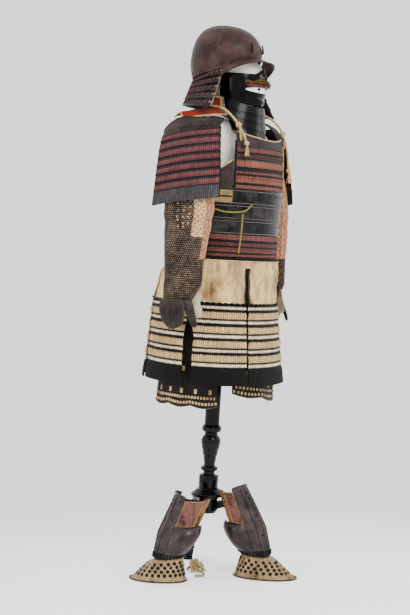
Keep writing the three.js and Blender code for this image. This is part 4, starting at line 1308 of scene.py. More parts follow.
def plate_rows(name, node, bottom, from_deg, to_deg, rows):
    obj = round_rows(name, 1154.7, bottom, from_deg, to_deg, rows, 5, step=2.0, ribs=False,
                     columns=96, thick=1.8, out0=0.5)
    finish_piece(obj, "black_lacquer", PLATE_BLACK, node)


plate_rows("middle_plate_rows", "middle_plates", 1022.3, -89.6, 89.6, 3)
plate_rows("back_plate_rows", "back_plates", 936, 90.4, 269.6, 6)
BREAST_HALF, BREAST_TOP, BREAST_BOTTOM = math.radians(47), 1301, 1276


def chest_plate_at(u, t, out=0.0):
    bearing = (2 * u - 1) * BREAST_HALF
    top = BREAST_TOP + 18 * np.abs(2 * u - 1) ** 1.6
    z = top + (BREAST_BOTTOM - top) * t
    return oval(CUIRASS, bearing, z, out + 0.4 + 2.2 * t), points(u * 0.28, t * 0.016)


breast_plate = wall("breast_top_plate", 48, 6, chest_plate_at, 1.8)
finish_piece(breast_plate, "black_lacquer", STRAP, "chest_plate")
breast_edge = line_across(chest_plate_at, on_post, 0.0, -0.6, 70, (0.005, 0.995))
piping("breast_piping", breast_edge, 0.0018, PIPING, "red_laced")


def on_cuirass(deg, z, out):
    """Points on the cuirass in metres, from a bearing in degrees and a height."""
    deg, z = (np.array(v, float) for v in np.broadcast_arrays(np.atleast_1d(deg), np.atleast_1d(z)))
    return on_post(oval(CUIRASS, np.radians(deg), z, out))


def rivet_spot(deg, z, out):
    way = on_cuirass(deg, z, 9)[0] - on_cuirass(deg, z, 0)[0]
    return axes_from(way), on_cuirass(deg, z, out)[0]


def run_round(name, from_deg, to_deg, z, out, radius, finish, slot):
    """A thin bead or binding that runs round the cuirass at one height."""
    line = on_cuirass(np.linspace(from_deg, to_deg, 90), z, out)
    return piping(name, line, radius, finish, slot, sides=6)


# Painted highlight: the beads along the front plates' edges are pale grey where the edges catch the
# light.
EDGE_HIGHLIGHT = lacquer("worn silver line", colour(150, 146, 140), colour(84, 80, 78), 0.4, grain=0.2)
BEADS = (1148, 1112.6, 1104, 1068.6, 1060, 1025.6)
FRONT_RIVETS, BACK_RIVETS = (1138, 1093, 1049), (1137, 1101, 1065, 1029, 993, 957)
for i, z in enumerate(BEADS):
    run_round("plate_bead_%d" % (i + 1), -86, 86, z, 2.6 - 0.25 * (i % 2), 0.0006, EDGE_HIGHLIGHT,
              "black_lacquer")
dots = [rivet_spot(deg, z, 1.9) for z in FRONT_RIVETS for deg in range(-80, 81, 8)]
dots += [rivet_spot(deg, z, 2.0) for z in BACK_RIVETS for deg in range(98, 263, 12)]
plate_rivets = many("plate_rivets", dome_seed(0.0021, 0.0012, 2, 8), dots)
finish_piece(plate_rivets, "black_lacquer", PLATE_BLACK)
for hand, deg, radius, finish, slot in (("r", 47.4, 0.0034, BLACK_CORD, "black_lacquer"),
                                        ("l", -47.4, 0.0026, PIPING, "red_laced")):
    edge = on_cuirass(deg, np.linspace(1293, 1154, 24), 2.4)
    piping("breast_edge_" + hand, edge, radius, finish, slot)
print("plate rivets", len(dots))

# %% [markdown]
# ## Shoulder guards
# A shoulder guard is a flat curtain of seven laced rows under a small plate. It bows back at
# both edges and its rows climb a little toward the front.

# %% Shoulder guards
SODE = np.array([(1080, 275, -130), (1146, 271, -126), (1200, 265, -119), (1280, 254, -106),
                 (1325, 239, -96), (1352, 213, -90)], float)
SODE_REAR, SODE_TOP, SODE_ROWS_TOP, SODE_BOTTOM, SODE_HEM = 95.0, 1352.0, 1314.7, 1108.0, 38.0
SODE_WIDTH, BRAID, SODE_ROWS, PLATE_BOTTOM = 0.232, 0.0058, 7, 1309


def guard_point(side, across, z, out):
    x, front = np.interp(z, SODE[:, 0], SODE[:, 1]), np.interp(z, SODE[:, 0], SODE[:, 2])
    y = SODE_REAR + (front - SODE_REAR) * across
    bow = np.where(across > 0.5, 38, 30) * (2 * across - 1) ** 2
    lift = 0.15 * (-22 - y) * np.minimum(1, (SODE_TOP - z) / 36)
    return points(side * (x - bow + out), y, z + lift)


@fitted
def guard_rows_at(side, u, row):
    rib = ribbed(u, SODE_WIDTH, BRAID, 0.9)
    return (guard_point(side, u, SODE_ROWS_TOP - row[:, 0], row[:, 1] + rib - 0.6),
            points(u * SODE_WIDTH, row[:, 0] * MM))


@fitted
def guard_plate_at(side, u, t, out=0.0):
    dip = 26 * np.maximum(0, 1 - u / 0.4) ** 2
    z = (SODE_TOP - dip) + (PLATE_BOTTOM - SODE_TOP + dip) * t
    lip = 0.3 + 2.4 * np.clip(t * 2 - 1, 0, 1)
    return guard_point(side, u, z, out + lip), points(u * 0.19, t * 0.036)


ROW_PITCH = (SODE_ROWS_TOP - SODE_BOTTOM - SODE_HEM) / SODE_ROWS
SODE_BANDS = []
for i in range(SODE_ROWS):
    start = i * ROW_PITCH * MM
    SODE_BANDS += [(start, (94, 74, 80)), (start + 0.0070, (152, 92, 85)),
                   (start + 0.0135, (134, 79, 88)), (start + 0.0205, (34, 28, 30))]
SODE_BANDS.append((SODE_ROWS * ROW_PITCH * MM, (98, 93, 94)))
SODE_SILK = laced("shoulder silk", SODE_ROWS_TOP * MM - SODE_BOTTOM * MM, SODE_BANDS, BRAID,
                  fade=0.32, roughness=0.8, tooth=0.0016)
SODE_HEIGHTS = banded(SODE_ROWS_TOP - SODE_BOTTOM, SODE_ROWS, 6, 2.6, SODE_HEM)
for hand, side, place in (("r", -1, on_post), ("l", 1, on_left_guard)):
    rows = wall("shoulder_rows_" + hand, 160, SODE_HEIGHTS, guard_rows_at(side), 3, place,
                facing=(side, 0, 0))
    finish_piece(rows, "red_laced", SODE_SILK, "shoulder_guard_lames_" + hand)
    at = guard_plate_at(side)
    plate = wall("shoulder_plate_" + hand, 40, 6, at, 1.8, place, facing=(side, 0, 0.2))
    finish_piece(plate, "black_lacquer", STRAP, "shoulder_guard_plate_" + hand)
    spots = [on_surface(at, place, 0.08 + 0.84 * k / 9, 0.62, 0.2) for k in range(10)]
    studs = many("shoulder_studs_" + hand, dome_seed(0.0032, 0.0022), spots)
    finish_piece(studs, "red_laced", LACE_RED)
    piping("shoulder_plate_edge_" + hand, line_across(at, place, 0.02, -0.5), 0.0017, BLACK_CORD,
           "black_lacquer")
    down, out = SODE_HEIGHTS[:, 0], SODE_HEIGHTS[:, 1]
    for k, u in enumerate((0.003, 0.997)):
        side_edge = place(guard_point(side, np.full(len(down), u), SODE_ROWS_TOP - down, out - 0.8))
        piping("shoulder_binding_%s_%d" % (hand, k + 1), side_edge[::2], 0.0022, BLACK_CORD,
               "red_laced", sides=6)
print("shoulder rows", len(rows.data.polygons), "faces each")

# %% [markdown]
# ## Sleeves
# A sleeve is a cloth tube covered with mail, and bunches at the elbow. Rings of mail are drawn
# by the finish: a grid of small circles, where the cloth shows through. Inside the elbow the
# mail gives way to two patches of figured cloth, bound with a pale piping.

# %% Mail and figured cloth


RING_ACROSS, RING_DOWN = 0.0068, 0.0060


def mail(name, patches):
    """patches: (across from, to, down from, to, ground colour, figure colour, cell) in metres."""
    f = Finish(name)
    uv, across, down = f.cloth()
    row = f.over(down, RING_DOWN)
    odd = f.times(f.maths("MODULO", f.maths("FLOOR", row), 2.0), 0.5)
    column = f.plus(f.over(across, RING_ACROSS), odd)
    cx = f.minus(f.maths("FRACT", column), 0.5)
    cy = f.minus(f.maths("FRACT", row), 0.5)
    d = f.maths("SQRT", f.plus(f.times(cx, cx), f.times(cy, cy)))
    cloud = f.noise(f.spot(), 20, 4, 0.6)
    uneven = f.noise(f.spot(), 95, 3, 0.7)
    ring = f.times(f.between(d, 0.14, 0.42, 1.0, 0.0),
                   f.between(uneven, 0.38, 0.62, 0.15, 1.0))
    ground = f.mix(f.between(cloud, 0.45, 0.75), colour(44, 35, 31), colour(82, 64, 53))
    metal = f.mix(f.between(cloud, 0.35, 0.6), colour(134, 112, 98), colour(186, 160, 136))
    shade = f.mix(ring, ground, metal)
    relief = f.plus(ring, f.times(cloud, 0.4))
    for a0, a1, d0, d1, ground_rgb, figure_rgb, cell in patches:
        wobble = f.times(f.minus(cloud, 0.5), 0.02)
        a, h = f.plus(across, wobble), f.plus(down, wobble)
        within_a, within_h = (
            f.times(f.between(way, start, start + 0.001),
                    f.between(way, end - 0.001, end, 1.0, 0.0))
            for way, start, end in ((a, a0, a1), (h, d0, d1)))
        inside = f.times(within_a, within_h)
        px = f.maths("PINGPONG", f.over(f.plus(across, down), cell), 0.5)
        py = f.maths("PINGPONG", f.over(f.minus(across, down), cell), 0.5)
        lattice = f.maths("MINIMUM", px, py)
        leaf = f.noise(uv, 2.0 / cell, 3, 0.7)
        figure = f.maths("MAXIMUM", f.between(lattice, 0.03, 0.1, 1.0, 0.0),
                         f.between(leaf, 0.52, 0.6))
        shade = f.mix(inside, shade, f.mix(figure, colour(*ground_rgb), colour(*figure_rgb)))
        relief = f.times(relief, f.minus(1.0, inside))
    return f.surface(shade, 0.75, f.bump(relief, 0.0015, 0.8))


# Each row: height, the middle's x and y, and half of the width and of the depth.
KOTE = np.array([(818, 239, -7, 30, 45), (842, 238, -12, 32, 53), (868, 237, -19, 33, 62),
                 (930, 234, -19, 34, 65), (1020, 231, -20, 35, 74), (1095, 228, -19, 36, 84),
                 (1190, 220, -14, 35, 78), (1290, 195, -4, 34, 62)], float)
ELBOW, SLEEVE_TOP, SLEEVE_LENGTH = 1062.0, 1290, 472


def sleeve_at(side):
    seed = 1.3 if side < 0 else 4.1

    def at(u, t, out=0.0):
        turn = 2 * math.pi * u
        z = SLEEVE_TOP - SLEEVE_LENGTH * t
        x, y, half_x, half_y = (np.interp(z, KOTE[:, 0], KOTE[:, i]) for i in (1, 2, 3, 4))
        near_elbow = swell(z, ELBOW, 46)
        crease = (1.9 * near_elbow * np.sin((z - ELBOW) / 8.5 + 1.8 * np.sin(turn + seed))
                  + 1.2 * np.sin(z / 31.0 + 2.2 * np.sin(turn + seed))
                  + 0.9 * np.sin(z / 13.0 + 3 * turn + seed) * swell(z, 880, 60))
        crease = crease + 2.2 * swell(z, 1150, 26) * np.cos(2 * turn - seed)
        return points(side * (x + (half_x + out + crease - 1) * np.cos(turn)),
                      y + (half_y + out + crease - 1) * np.sin(turn), z), \
            points(u * 0.38, t * 0.472)
    return at


PATCHES = [(0.312, 0.350, 0.090, 0.282, (214, 184, 150), (150, 112, 90), 0.016),
           (0.236, 0.312, 0.090, 0.345, (196, 152, 124), (150, 88, 70), 0.019)]
MAIL = mail("mail over cloth", PATCHES)
PLATE_PALE = lacquer("small pale plates", colour(172, 150, 122), colour(110, 92, 76), 0.5, grain=0.3)
ARMS = (("r", -1, on_post), ("l", 1, on_left_arm))
for hand, side, place in ARMS:
    at = sleeve_at(side)
    sleeve = wall("sleeve_" + hand, 88, 100, at, 2, place, facing="own", ring=True, angle=60)
    finish_piece(sleeve, "mail_cloth", MAIL, "arm_sleeve_" + hand)
    pipings = [tube("piping", line_down(at, place, u, 0.8, 40, (0.24, 0.72)), 0.0016, 8)
               for u in (0.622, 0.680)]
    finish_piece(joined("sleeve_piping_" + hand, pipings), "mail_cloth", PIPING)
    spots = [on_surface(at, place, u + 0.004 * (k % 2), 0.30 + 0.02 * k, 0.8)
             for k in range(13) for u in (0.91, 0.945, 0.98, 0.02) if (k * 7 + int(u * 100)) % 5 < 3]
    splint = box_piece("splint", (0.0065, 0.0060, 0.0012))
    finish_piece(many("sleeve_splints_" + hand, splint, spots), "mail_cloth", PLATE_PALE)
    hem = line_across(at, place, 0.994, 0.0, 80, (0, 1), closed=True)
    piping("sleeve_cuff_" + hand, hem, 0.0026, EDGING, "mail_cloth", closed=True)
print("sleeve faces", len(sleeve.data.polygons))

# %% [markdown]
# A hand plate is shaped like the back of a closed hand: knuckles, then four shallow fingers. The
# thumb has its own small plate, and the glove's pale lining shows at the palm.

# %% Hand plates
FINGERS = 4


@fitted
def hand_at(side, u, t, out=0.0):
    across = 2 * u - 1
    half_chord = 44 * np.sqrt(1 - (0.86 * t) ** 3) * (1 - 0.2 * (1 - np.clip(t / 0.25, 0, 1)) ** 2)
    finger = np.abs(np.sin(u * FINGERS * math.pi))
    fingers = 3.2 * np.sqrt(finger) * np.clip((t - 0.3) / 0.15, 0, 1)
    knuckle = 2.4 * swell(t, 0.32, 0.09) * finger
    joint = -0.9 * swell(t, 0.6, 0.02) - 0.9 * swell(t, 0.82, 0.02)
    x = 278 - 16 * t * t - 8 * across ** 2 + fingers + knuckle + joint + out - 1
    tip = (2.5 * (1 - finger) * np.clip((t - 0.85) / 0.15, 0, 1)
           + 11 * across ** 2 * np.clip(t, 0, 1) ** 3)
    return points(side * x, -9 - across * half_chord, 826 - 86 * t + tip), \
        points(u * 0.09, t * 0.09)


@fitted
def thumb_at(side, u, t, out=0.0):
    turn = math.radians(-20) + math.radians(115) * u
    r = (17 - 5 * t * t) * np.sqrt(1 - (0.93 * t) ** 8) + out - 0.8 * swell(t, 0.5, 0.05)
    return points(side * (246 + r * np.cos(turn)), -44 - 32 * t - r * np.sin(turn),
                  828 - 76 * t), points(u * 0.03, t * 0.08)


@fitted
def palm_at(side, u, t):
    x = 236 - 14 * u + 3 * np.sin(t * 3)
    y = -44 - 31 * u - 5 * np.sin(math.pi * u) - 11 * t
    wave = 1.6 * np.sin(t * 11 + 3 * u)
    return points(side * (x + wave), y + wave, 846 - 72 * t + 6 * u), \
        points(u * 0.04, t * 0.08)


LINING = woven("pale glove lining", colour(206, 194, 176), colour(168, 150, 128), 0.0007)
for hand, side, place in ARMS:
    at = hand_at(side)
    piece = wall("hand_back_" + hand, 48, 40, at, 1.8, place, facing=(side, 0, 0), angle=60)
    finish_piece(piece, "black_lacquer", GLOVE, "hand_plate_" + hand)
    piece = wall("thumb_cover_" + hand, 16, 24, thumb_at(side), 1.8, place, facing="own", angle=60)
    finish_piece(piece, "black_lacquer", GLOVE, "thumb_plate_" + hand)
    lining = wall("glove_lining_" + hand, 14, 22, palm_at(side), 1.0, place,
                  facing=(-side, -1, 0), angle=60)
    finish_piece(lining, "form_cloth", LINING)
    bands = [tube("edge", line_down(at, place, u, -0.9, 20, (0.02, 0.95)), 0.0015, 6)
             for u in (0.01, 0.99)]
    wrist = line_across(at, place, 0.012, -0.9, 40, (0.01, 0.99))
    bands.append(tube("edge", wrist, 0.0018, 6))
    finish_piece(joined("glove_binding_" + hand, bands), "tan_leather", EDGING)
print("hands done")

# %% [markdown]
# ## The deerskin yoke
# The skirt hangs from a band of smoked deerskin. It is one skin round the waist, slit seven
# times from below, so it is made as a band on top and seven flaps. Its creases are uneven: long
# soft ones hang from the band, and short ones cross them. Each slit is bound in black stitches.

# %% Yoke
SKIRT = [(580, 226, 203, 6), (818, 198, 182, 15), (900, 190, 166, 8), (932, 187, 150, -5),
         (950, 186, 144, -12)]
FLAPS, YOKE_TOP, SLIT_TOP, YOKE_BOTTOM = 7, 946.0, 925.0, 818.0
random.seed(5)
CREASES = [(random.uniform(0, 2 * math.pi), random.uniform(0.02, 0.06), random.uniform(1.4, 4.2),
            random.uniform(-0.5, 0.5), random.uniform(820, 900)) for _ in range(60)]


def skin_creases(bearing, z):
    """Hanging creases placed one by one: bearing, width, depth, slant and where each ends."""
    total = np.zeros(len(z))
    for centre, width, depth, slant, end in CREASES:
        away = np.angle(np.exp(1j * (bearing - centre - slant * (YOKE_TOP - z) / 300)))
        ends = np.clip((z - end) / 40, 0, 1) * np.clip((YOKE_TOP - z) / 16, 0, 1)
        total += depth * swell(away, 0, width) * ends
    ripple = 1.2 * np.sin(z / 9 + 5 * np.sin(bearing * 3)) * np.clip((YOKE_TOP - z) / 40, 0, 1)
    return total * 1.5 + ripple


def yoke_point(bearing, z, out=0.0):
    return oval(SKIRT, bearing, z, 2 + out + np.clip(skin_creases(bearing, z), -1.6, 8.0))


def band_at(u, t):
    bearing, z = 2 * math.pi * u, YOKE_TOP - (YOKE_TOP - SLIT_TOP) * t
    return yoke_point(bearing, z), points(u * 1.1, t * 0.02)


def slit_bearing(i):
    return 2 * math.pi * (i + 0.5) / FLAPS


SLIT_GAP, SLIT_STITCHES, SCALLOPS = 0.030, 15, 9  # the gap is half a slit's, in radians


def slit_height(t):
    return SLIT_TOP - (SLIT_TOP - YOKE_BOTTOM) * t


def slit_tooth(t):
    return np.abs((t * SLIT_STITCHES) % 1 - 0.5) * 2


def hem_scallop(u):
    return 3.2 * np.abs(np.sin(u * SCALLOPS * math.pi))


@fitted
def flap_at(i, u, t):
    tooth = 0.0035 * slit_tooth(t)
    low, high = slit_bearing(i - 1) + SLIT_GAP - tooth, slit_bearing(i) - SLIT_GAP + tooth
    z = slit_height(t) + hem_scallop(u) * np.clip((t - 0.92) / 0.08, 0, 1)
    return yoke_point(low + (high - low) * u, z), \
        points((i + u) * 0.157, 0.02 + t * 0.1)


parts = [wall("band", 252, 4, band_at, 2, ring=True, angle=60)]
parts += [wall("flap", 66, 32, flap_at(i), 2, angle=60) for i in range(FLAPS)]
yoke = joined("deerskin_yoke", parts)
smooth(yoke, 60)
finish_piece(yoke, "deerskin", DEERSKIN, "waist_yoke")


@fitted
def slit_edge_at(i, sign, u, t):
    width = 0.012 + 0.018 * slit_tooth(t)
    bearing = slit_bearing(i) + sign * (0.025 + width * u)
    return yoke_point(bearing, slit_height(t), 1.0), points(u * 0.004, t * 0.1)


# Painted shade: a black sheet lies just inside each slit, so that the slit shows dark.
@fitted
def slit_shade_sheet_at(i, u, t):
    bearing = slit_bearing(i) + 2 * SLIT_GAP * (2 * u - 1)
    return oval(SKIRT, bearing, 2 + slit_height(t), -2.2), points(u * 0.02, t * 0.1)


edges = [wall("edge", 2, 60, slit_edge_at(i, s), 0.8) for i in range(FLAPS) for s in (-1, 1)]
# The black sheets inside the slits are painted shade.
edges += [wall("lining", 2, 12, slit_shade_sheet_at(i), 0.8) for i in range(FLAPS)]
finish_piece(joined("yoke_slit_stitches", edges), "deerskin", BLACK_CORD)
round_the_waist = np.linspace(0, 2 * math.pi, 160, endpoint=False)
top_line = on_post(yoke_point(round_the_waist, np.full(160, YOKE_TOP - 1.5), 0.4))
piping("yoke_top_cord", top_line, 0.0022, PIPING, "deerskin", closed=True)
hem_lines = []
for i in range(FLAPS):
    u = np.linspace(0.01, 0.99, 90)
    bearing = slit_bearing(i - 1) + SLIT_GAP + (2 * math.pi / FLAPS - 2 * SLIT_GAP) * u
    z = YOKE_BOTTOM + 1.0 + hem_scallop(u)
    hem_lines.append(tube("hem", on_post(yoke_point(bearing, z, 0.6)), 0.0013, 6))
finish_piece(joined("yoke_hem_cord", hem_lines), "deerskin", BLACK_CORD)
print("yoke faces", len(yoke.data.polygons))

# %% [markdown]
# ## The skirt panels
# Seven panels hang from the yoke. Each has four bands of pale braids, and between them a black
# plate edge with one cream cord along it, and a black ribbed hem. Every braid is a real rib. A
# panel's own list of heights says where it steps out.

# %% Skirt panels
CREAM_BRAID, CREAM_CORD, INK = (213, 186, 148), (240, 228, 206), (24, 20, 19)
PERIOD, PERIODS, SKIRT_DEPTH, SKIRT_BRAID = 41.5, 4, 234.0, 0.0072
# Each step: how far down, how far out, and how much of the braids' ribs it has.
PANEL_STEPS = [(0.0, 0.4, 0), (0.9, 1.2, 0), (6.2, 1.2, 0), (6.9, 2.4, 0), (9.8, 2.8, 0),
               (12.6, 2.4, 0), (13.4, 1.0, 0), (22.6, 1.4, 0), (24.2, 2.2, 1), (28.0, 3.3, 1),
               (33.0, 3.6, 1), (38.0, 3.2, 1), (41.2, 1.8, 1)]
PANEL_ROWS = [(i * PERIOD + d, out, rib) for i in range(PERIODS) for d, out, rib in PANEL_STEPS]
PANEL_ROWS += [(166.5, 0.8, 0), (171.6, 1.2, 0), (172.4, 2.4, 0), (176.0, 2.8, 0), (179.6, 2.4, 0),
               (180.4, 1.0, 0), (187.4, 1.2, 0), (189.0, 2.2, 0.6), (194.0, 3.0, 0.8),
               (205.0, 3.4, 0.8), (218.0, 3.8, 0.8), (231.0, 4.0, 0.8), (234.0, 3.4, 0.4)]
PERIOD_BANDS = ((0, INK), (6.5, CREAM_CORD), (13, INK), (23.5, CREAM_BRAID))
PANEL_BANDS = [((i * PERIOD + d) * MM, rgb) for i in range(PERIODS) for d, rgb in PERIOD_BANDS]
PANEL_BANDS += [(0.166, INK), (0.172, CREAM_CORD), (0.180, INK)]
# Here gap makes the painted shade between the braids darker than on the other rows.
PANEL_SILK = laced("cream silk", SKIRT_DEPTH * MM, PANEL_BANDS, SKIRT_BRAID,
                   fade=0.24, roughness=0.85, tooth=0.0024, gap=0.12)


@fitted
def panel_at(i, swing, tilt, u, row):
    down = row[:, 0]
    fall = down / SKIRT_DEPTH
    half = (0.955 + 0.015 * fall) * math.pi / FLAPS
    opening = 0.062 * np.clip(fall * 3 - 0.2, 0, 1)  # two panels stand apart at the hand
    low = half - (opening if i == 2 else 0)
    high = half - (opening if i == 1 else 0)
    bearing = 2 * math.pi * i / FLAPS - low + (low + high) * u
    width = 0.178 + 0.022 * fall
    rib = ribbed(u, width, SKIRT_BRAID, 1.5) * row[:, 2]
    bend = swing * (2 * u - 1) ** 2 * fall
    z = YOKE_BOTTOM - down - tilt * (2 * u - 1) * fall
    return (oval(SKIRT, bearing, z, 2 + row[:, 1] + rib + bend - 1.4),
            points(u * width, down * MM))


random.seed(8)
for i in range(FLAPS):
    panel = wall("skirt_panel_%d" % (i + 1), 100, np.array(PANEL_ROWS),
                 panel_at(i, random.uniform(-3, 2), random.uniform(-2, 2)), 3, angle=60)
    finish_piece(panel, "cream_laced", PANEL_SILK, "tasset_%d" % (i + 1))
print("panel faces", len(panel.data.polygons))

# %% [markdown]
# ## Thigh guards
# Under the skirt hangs a cloth apron for each thigh. Its hem is scalloped and carries small pale
# plates in rows, which are boxes laid on the same surface as the cloth.

# %% Thigh guards
THIGH = [(518, 193, 178, 3), (700, 186, 162, 0), (900, 166, 128, -6)]
THIGH_TOP, THIGH_BOTTOM = 900.0, 518.0


def thigh_at(from_deg, to_deg, climb, seed):
    a, b = math.radians(from_deg), math.radians(to_deg)

    def at(u, t, out=0.0):
        z = THIGH_TOP + (THIGH_BOTTOM - THIGH_TOP) * t
        low = np.clip((t - 0.25) / 0.75, 0, 1)
        scallop = 7 * np.abs(np.sin(math.pi * u * 3)) * np.clip((t - 0.93) / 0.07, 0, 1)
        fold = (1.6 * np.sin(u * 19 + seed + 1.4 * np.sin(t * 5)) + 1.0 * np.sin(u * 41 + 3 * seed)) * low
        p = oval(THIGH, a + (b - a) * u, z, out + fold - 1.5)
        p[:, 2] += climb * (1 - u) * low - scallop
        return p, points(u * 0.24, t * 0.38)
    return at


THIGH_CLOTH = woven("patterned dark cloth", colour(40, 36, 36), colour(72, 62, 54), 0.0016, 0.95, 0.2)
PLATE_TAN = lacquer("pale hem plates", colour(200, 178, 144), colour(146, 118, 86), 0.55, grain=0.3)
for hand, turns, place in (("r", (51, 127, 0, 0.4), on_post), ("l", (38, -64, 42, 2.2), on_post)):
    at = thigh_at(*turns)
    apron = wall("thigh_apron_" + hand, 96, 48, at, 2, place, angle=60)
    finish_piece(apron, "indigo_cloth", THIGH_CLOTH, "thigh_guard_" + hand)
    spots = []
    for row, t in enumerate((0.972, 0.935)):
        spots += [on_surface(at, place, (k + 0.5 + 0.5 * row) / 25, t, 0.8) for k in range(24)]
    bead = box_piece("bead", (0.0064, 0.0080, 0.0030), 0.0010)
    finish_piece(many("thigh_hem_plates_" + hand, bead, spots), "indigo_cloth", PLATE_TAN)
    spots = [on_surface(at, place, (k + 0.5 + 0.3 * (n % 2)) / 5.4, t, 0.8)
             for k in range(5) for n, t in enumerate((0.89, 0.80, 0.72, 0.64))]
    splint = box_piece("splint", (0.0085, 0.014, 0.0016))
    finish_piece(many("thigh_splints_" + hand, splint, spots), "indigo_cloth", PLATE_TAN)
    hem = line_across(at, place, 0.997, -0.6, 120)
    piping("thigh_hem_cord_" + hand, hem, 0.0020, EDGING, "indigo_cloth", sides=6)
print("thigh aprons", len(apron.data.polygons))

# %% [markdown]
# ## Shin guards
# A shin guard has one plate over the shin and one round the calf. Long soft ridges run down
# the shin plate. A row of holes with black lacing joins it to the foot cover, and a leather
# patch with a frayed lining covers the inner side.

# %% Shin guards
SHIN_TABLE = np.array([(0, 40, 40), (0.12, 47, 45), (0.4, 56, 47), (0.7, 49, 43), (1, 43, 44)], float)
SHIN_BOTTOM, CALF_TOP = 72.0, 166


def shin_point(guard, turn, z, out=0.0):
    rise = (z - SHIN_BOTTOM) / (guard["top"] - SHIN_BOTTOM)
    fore, across = (np.interp(rise, SHIN_TABLE[:, 0], SHIN_TABLE[:, i]) for i in (1, 2))
    flare = out + guard["flare"] * rise * rise
    return points((fore + flare) * np.cos(turn) - guard["back"] * rise,
                  guard["inner"] * ((across + flare) * np.sin(turn) - guard["away"] * rise),
                  z + 0 * turn)


@fitted
def shin_at(guard, u, t, out=0.0):
    turn = math.radians(-36) + math.radians(116) * u
    z = guard["top"] + 10 * np.sin(math.pi * u) * (1 - t) + (SHIN_BOTTOM - guard["top"]) * t
    ridge = sum(4.4 * swell(u, c, 0.042) for c in (0.18, 0.42, 0.66)) * np.clip(t * 3, 0.2, 1)
    lip = 1.4 * np.clip((0.03 - t) / 0.03, 0, 1)
    return shin_point(guard, turn, z, 1.4 + out + ridge + lip), points(u * 0.1, t * 0.2)


@fitted
def calf_at(guard, u, t, out=0.0):
    turn = math.radians(82) + math.radians(104) * u
    z = CALF_TOP + (SHIN_BOTTOM - CALF_TOP) * t
    swollen = 1 + 20 * np.sin(math.pi * np.clip(t, 0, 1) ** 0.8) ** 0.8 * np.sin(math.pi * u) ** 0.7
    return shin_point(guard, turn, z, 2 + swollen + out), points(u * 0.1, t * 0.09)


@fitted
def patch_at(guard, low_deg, high_deg, out0, seed, top, bottom, u, t, out=0.0):
    turn = math.radians(low_deg) + math.radians(high_deg - low_deg) * u
    z = top + (bottom - top) * t
    crumple = (1.3 * np.sin(u * 7 + t * 5 + seed) * np.sin(t * 9 + seed)
               + 0.8 * np.sin(t * 23 + u * 9))
    return shin_point(guard, turn, z, out0 + out + crumple), points(u * 0.06, t * 0.08)


RED_PATCH = leather("cracked red leather", colour(146, 98, 86), colour(78, 52, 47), 0.4,
                    crease=1.6, scale=26.0, specks=0.6, full=0.5, folds=0.5)
STITCH_TAN = leather("tan edge stitching", colour(176, 136, 92), colour(112, 80, 52), 0.85,
                     crease=0.8, scale=60.0, specks=0.4)
for hand, guard in GUARDS.items():
    place = on_shin(hand)
    at = shin_at(guard)
    plate = wall("shin_plate_shell_" + hand, 64, 44, at, 2, place, facing="own", angle=60)
    finish_piece(plate, "russet_iron", RUSSET_DARK, "shin_plate_" + hand)
    calf = wall("calf_plate_shell_" + hand, 40, 28, calf_at(guard), 2, place, facing="own", angle=60)
    finish_piece(calf, "russet_iron", RUSSET_DARK, "calf_plate_" + hand)
    split = guard["leather_end"] - (26 if hand == "r" else 20)
    patch_top = guard["top"] - 12
    patch = wall("shin_patch_" + hand, 28, 24, patch_at(guard, 82, split, 1, 1.0, patch_top, 164),
                 2, place, facing="own", angle=60)
    finish_piece(patch, "red_leather", RED_PATCH, "shin_leather_" + hand)
    rim_at = patch_at(guard, 82, split, 1.2, 1.0, patch_top, 164)
    n = 24
    u = np.r_[np.zeros(n), np.linspace(0, 1, n), np.ones(n), np.linspace(1, 0, n)]
    t = np.r_[np.linspace(1, 0, n), np.zeros(n), np.linspace(0, 1, n), np.ones(n)]
    rim = place(rim_at(np.clip(u, 0.02, 0.98), np.clip(t, 0.02, 0.98), 0.4)[0])
    piping("patch_binding_" + hand, rim, 0.0016, STITCH_TAN, "red_leather", sides=6)
    lining_at = patch_at(guard, split - 2, guard["leather_end"] + 6, -0.4, 3.0, guard["top"] - 8, 162)
    lining = wall("shin_lining_" + hand, 24, 32, lining_at, 1.4, place, facing="own", angle=60)
    finish_piece(lining, "red_leather", FRAYED)
    spots = [on_surface(at, place, u0, t0, 0.1) for u0 in (0.1, 0.3, 0.54, 0.8)
             for t0 in (0.12, 0.2, 0.44, 0.72) if (int(u0 * 50) + int(t0 * 50)) % 2]
    holes = many("shin_holes_" + hand, dome_seed(0.0044, 0.0008, 2, 8), spots)
    finish_piece(holes, "russet_iron", BLACK_CORD)
    lace = [on_surface(at, place, (k + 0.5) / 15, 0.975, 0.5) for k in range(15)]
    lace += [on_surface(calf_at(guard), place, (k + 0.5) / 9, 0.955, 0.5) for k in range(9)]
    lacing = many("ankle_lacing_" + hand, box_piece("lace", (0.0050, 0.017, 0.0046), 0.001), lace)
    finish_piece(lacing, "russet_iron", BLACK_CORD)
    heights = np.linspace(guard["top"] - 3, SHIN_BOTTOM + 1, 40)
    seam = place(shin_point(guard, np.full(40, math.radians(81)), heights, 3.4))
    # Painted shade: thin lines of dark iron run down both sides of each ridge.
    ridge_shade_lines = [tube("groove", line_down(at, place, u, -0.3, 30, (0.05, 0.93)), 0.0013, 6)
               for u in (0.115, 0.25, 0.355, 0.49, 0.6, 0.73)]
    finish_piece(joined("shin_plate_grooves_" + hand, ridge_shade_lines), "russet_iron", IRON)
    top_rim = line_across(at, place, 0.004, -0.4, 50, (0.01, 0.99))
    edges = [tube("seam", seam, 0.0014, 6), tube("rim", top_rim, 0.0018, 6)]
    finish_piece(joined("shin_plate_edges_" + hand, edges), "russet_iron", RUSSET_DARK)
print("shin guards done")

# %% [markdown]
# ## Foot covers
# The foot cover is one piece of tan cloth, shaped over the foot and open below. Its holes are
# worked in dark thread in a loose grid, and its edge is bound. The wrinkles run from the ankle.

# %% Foot covers


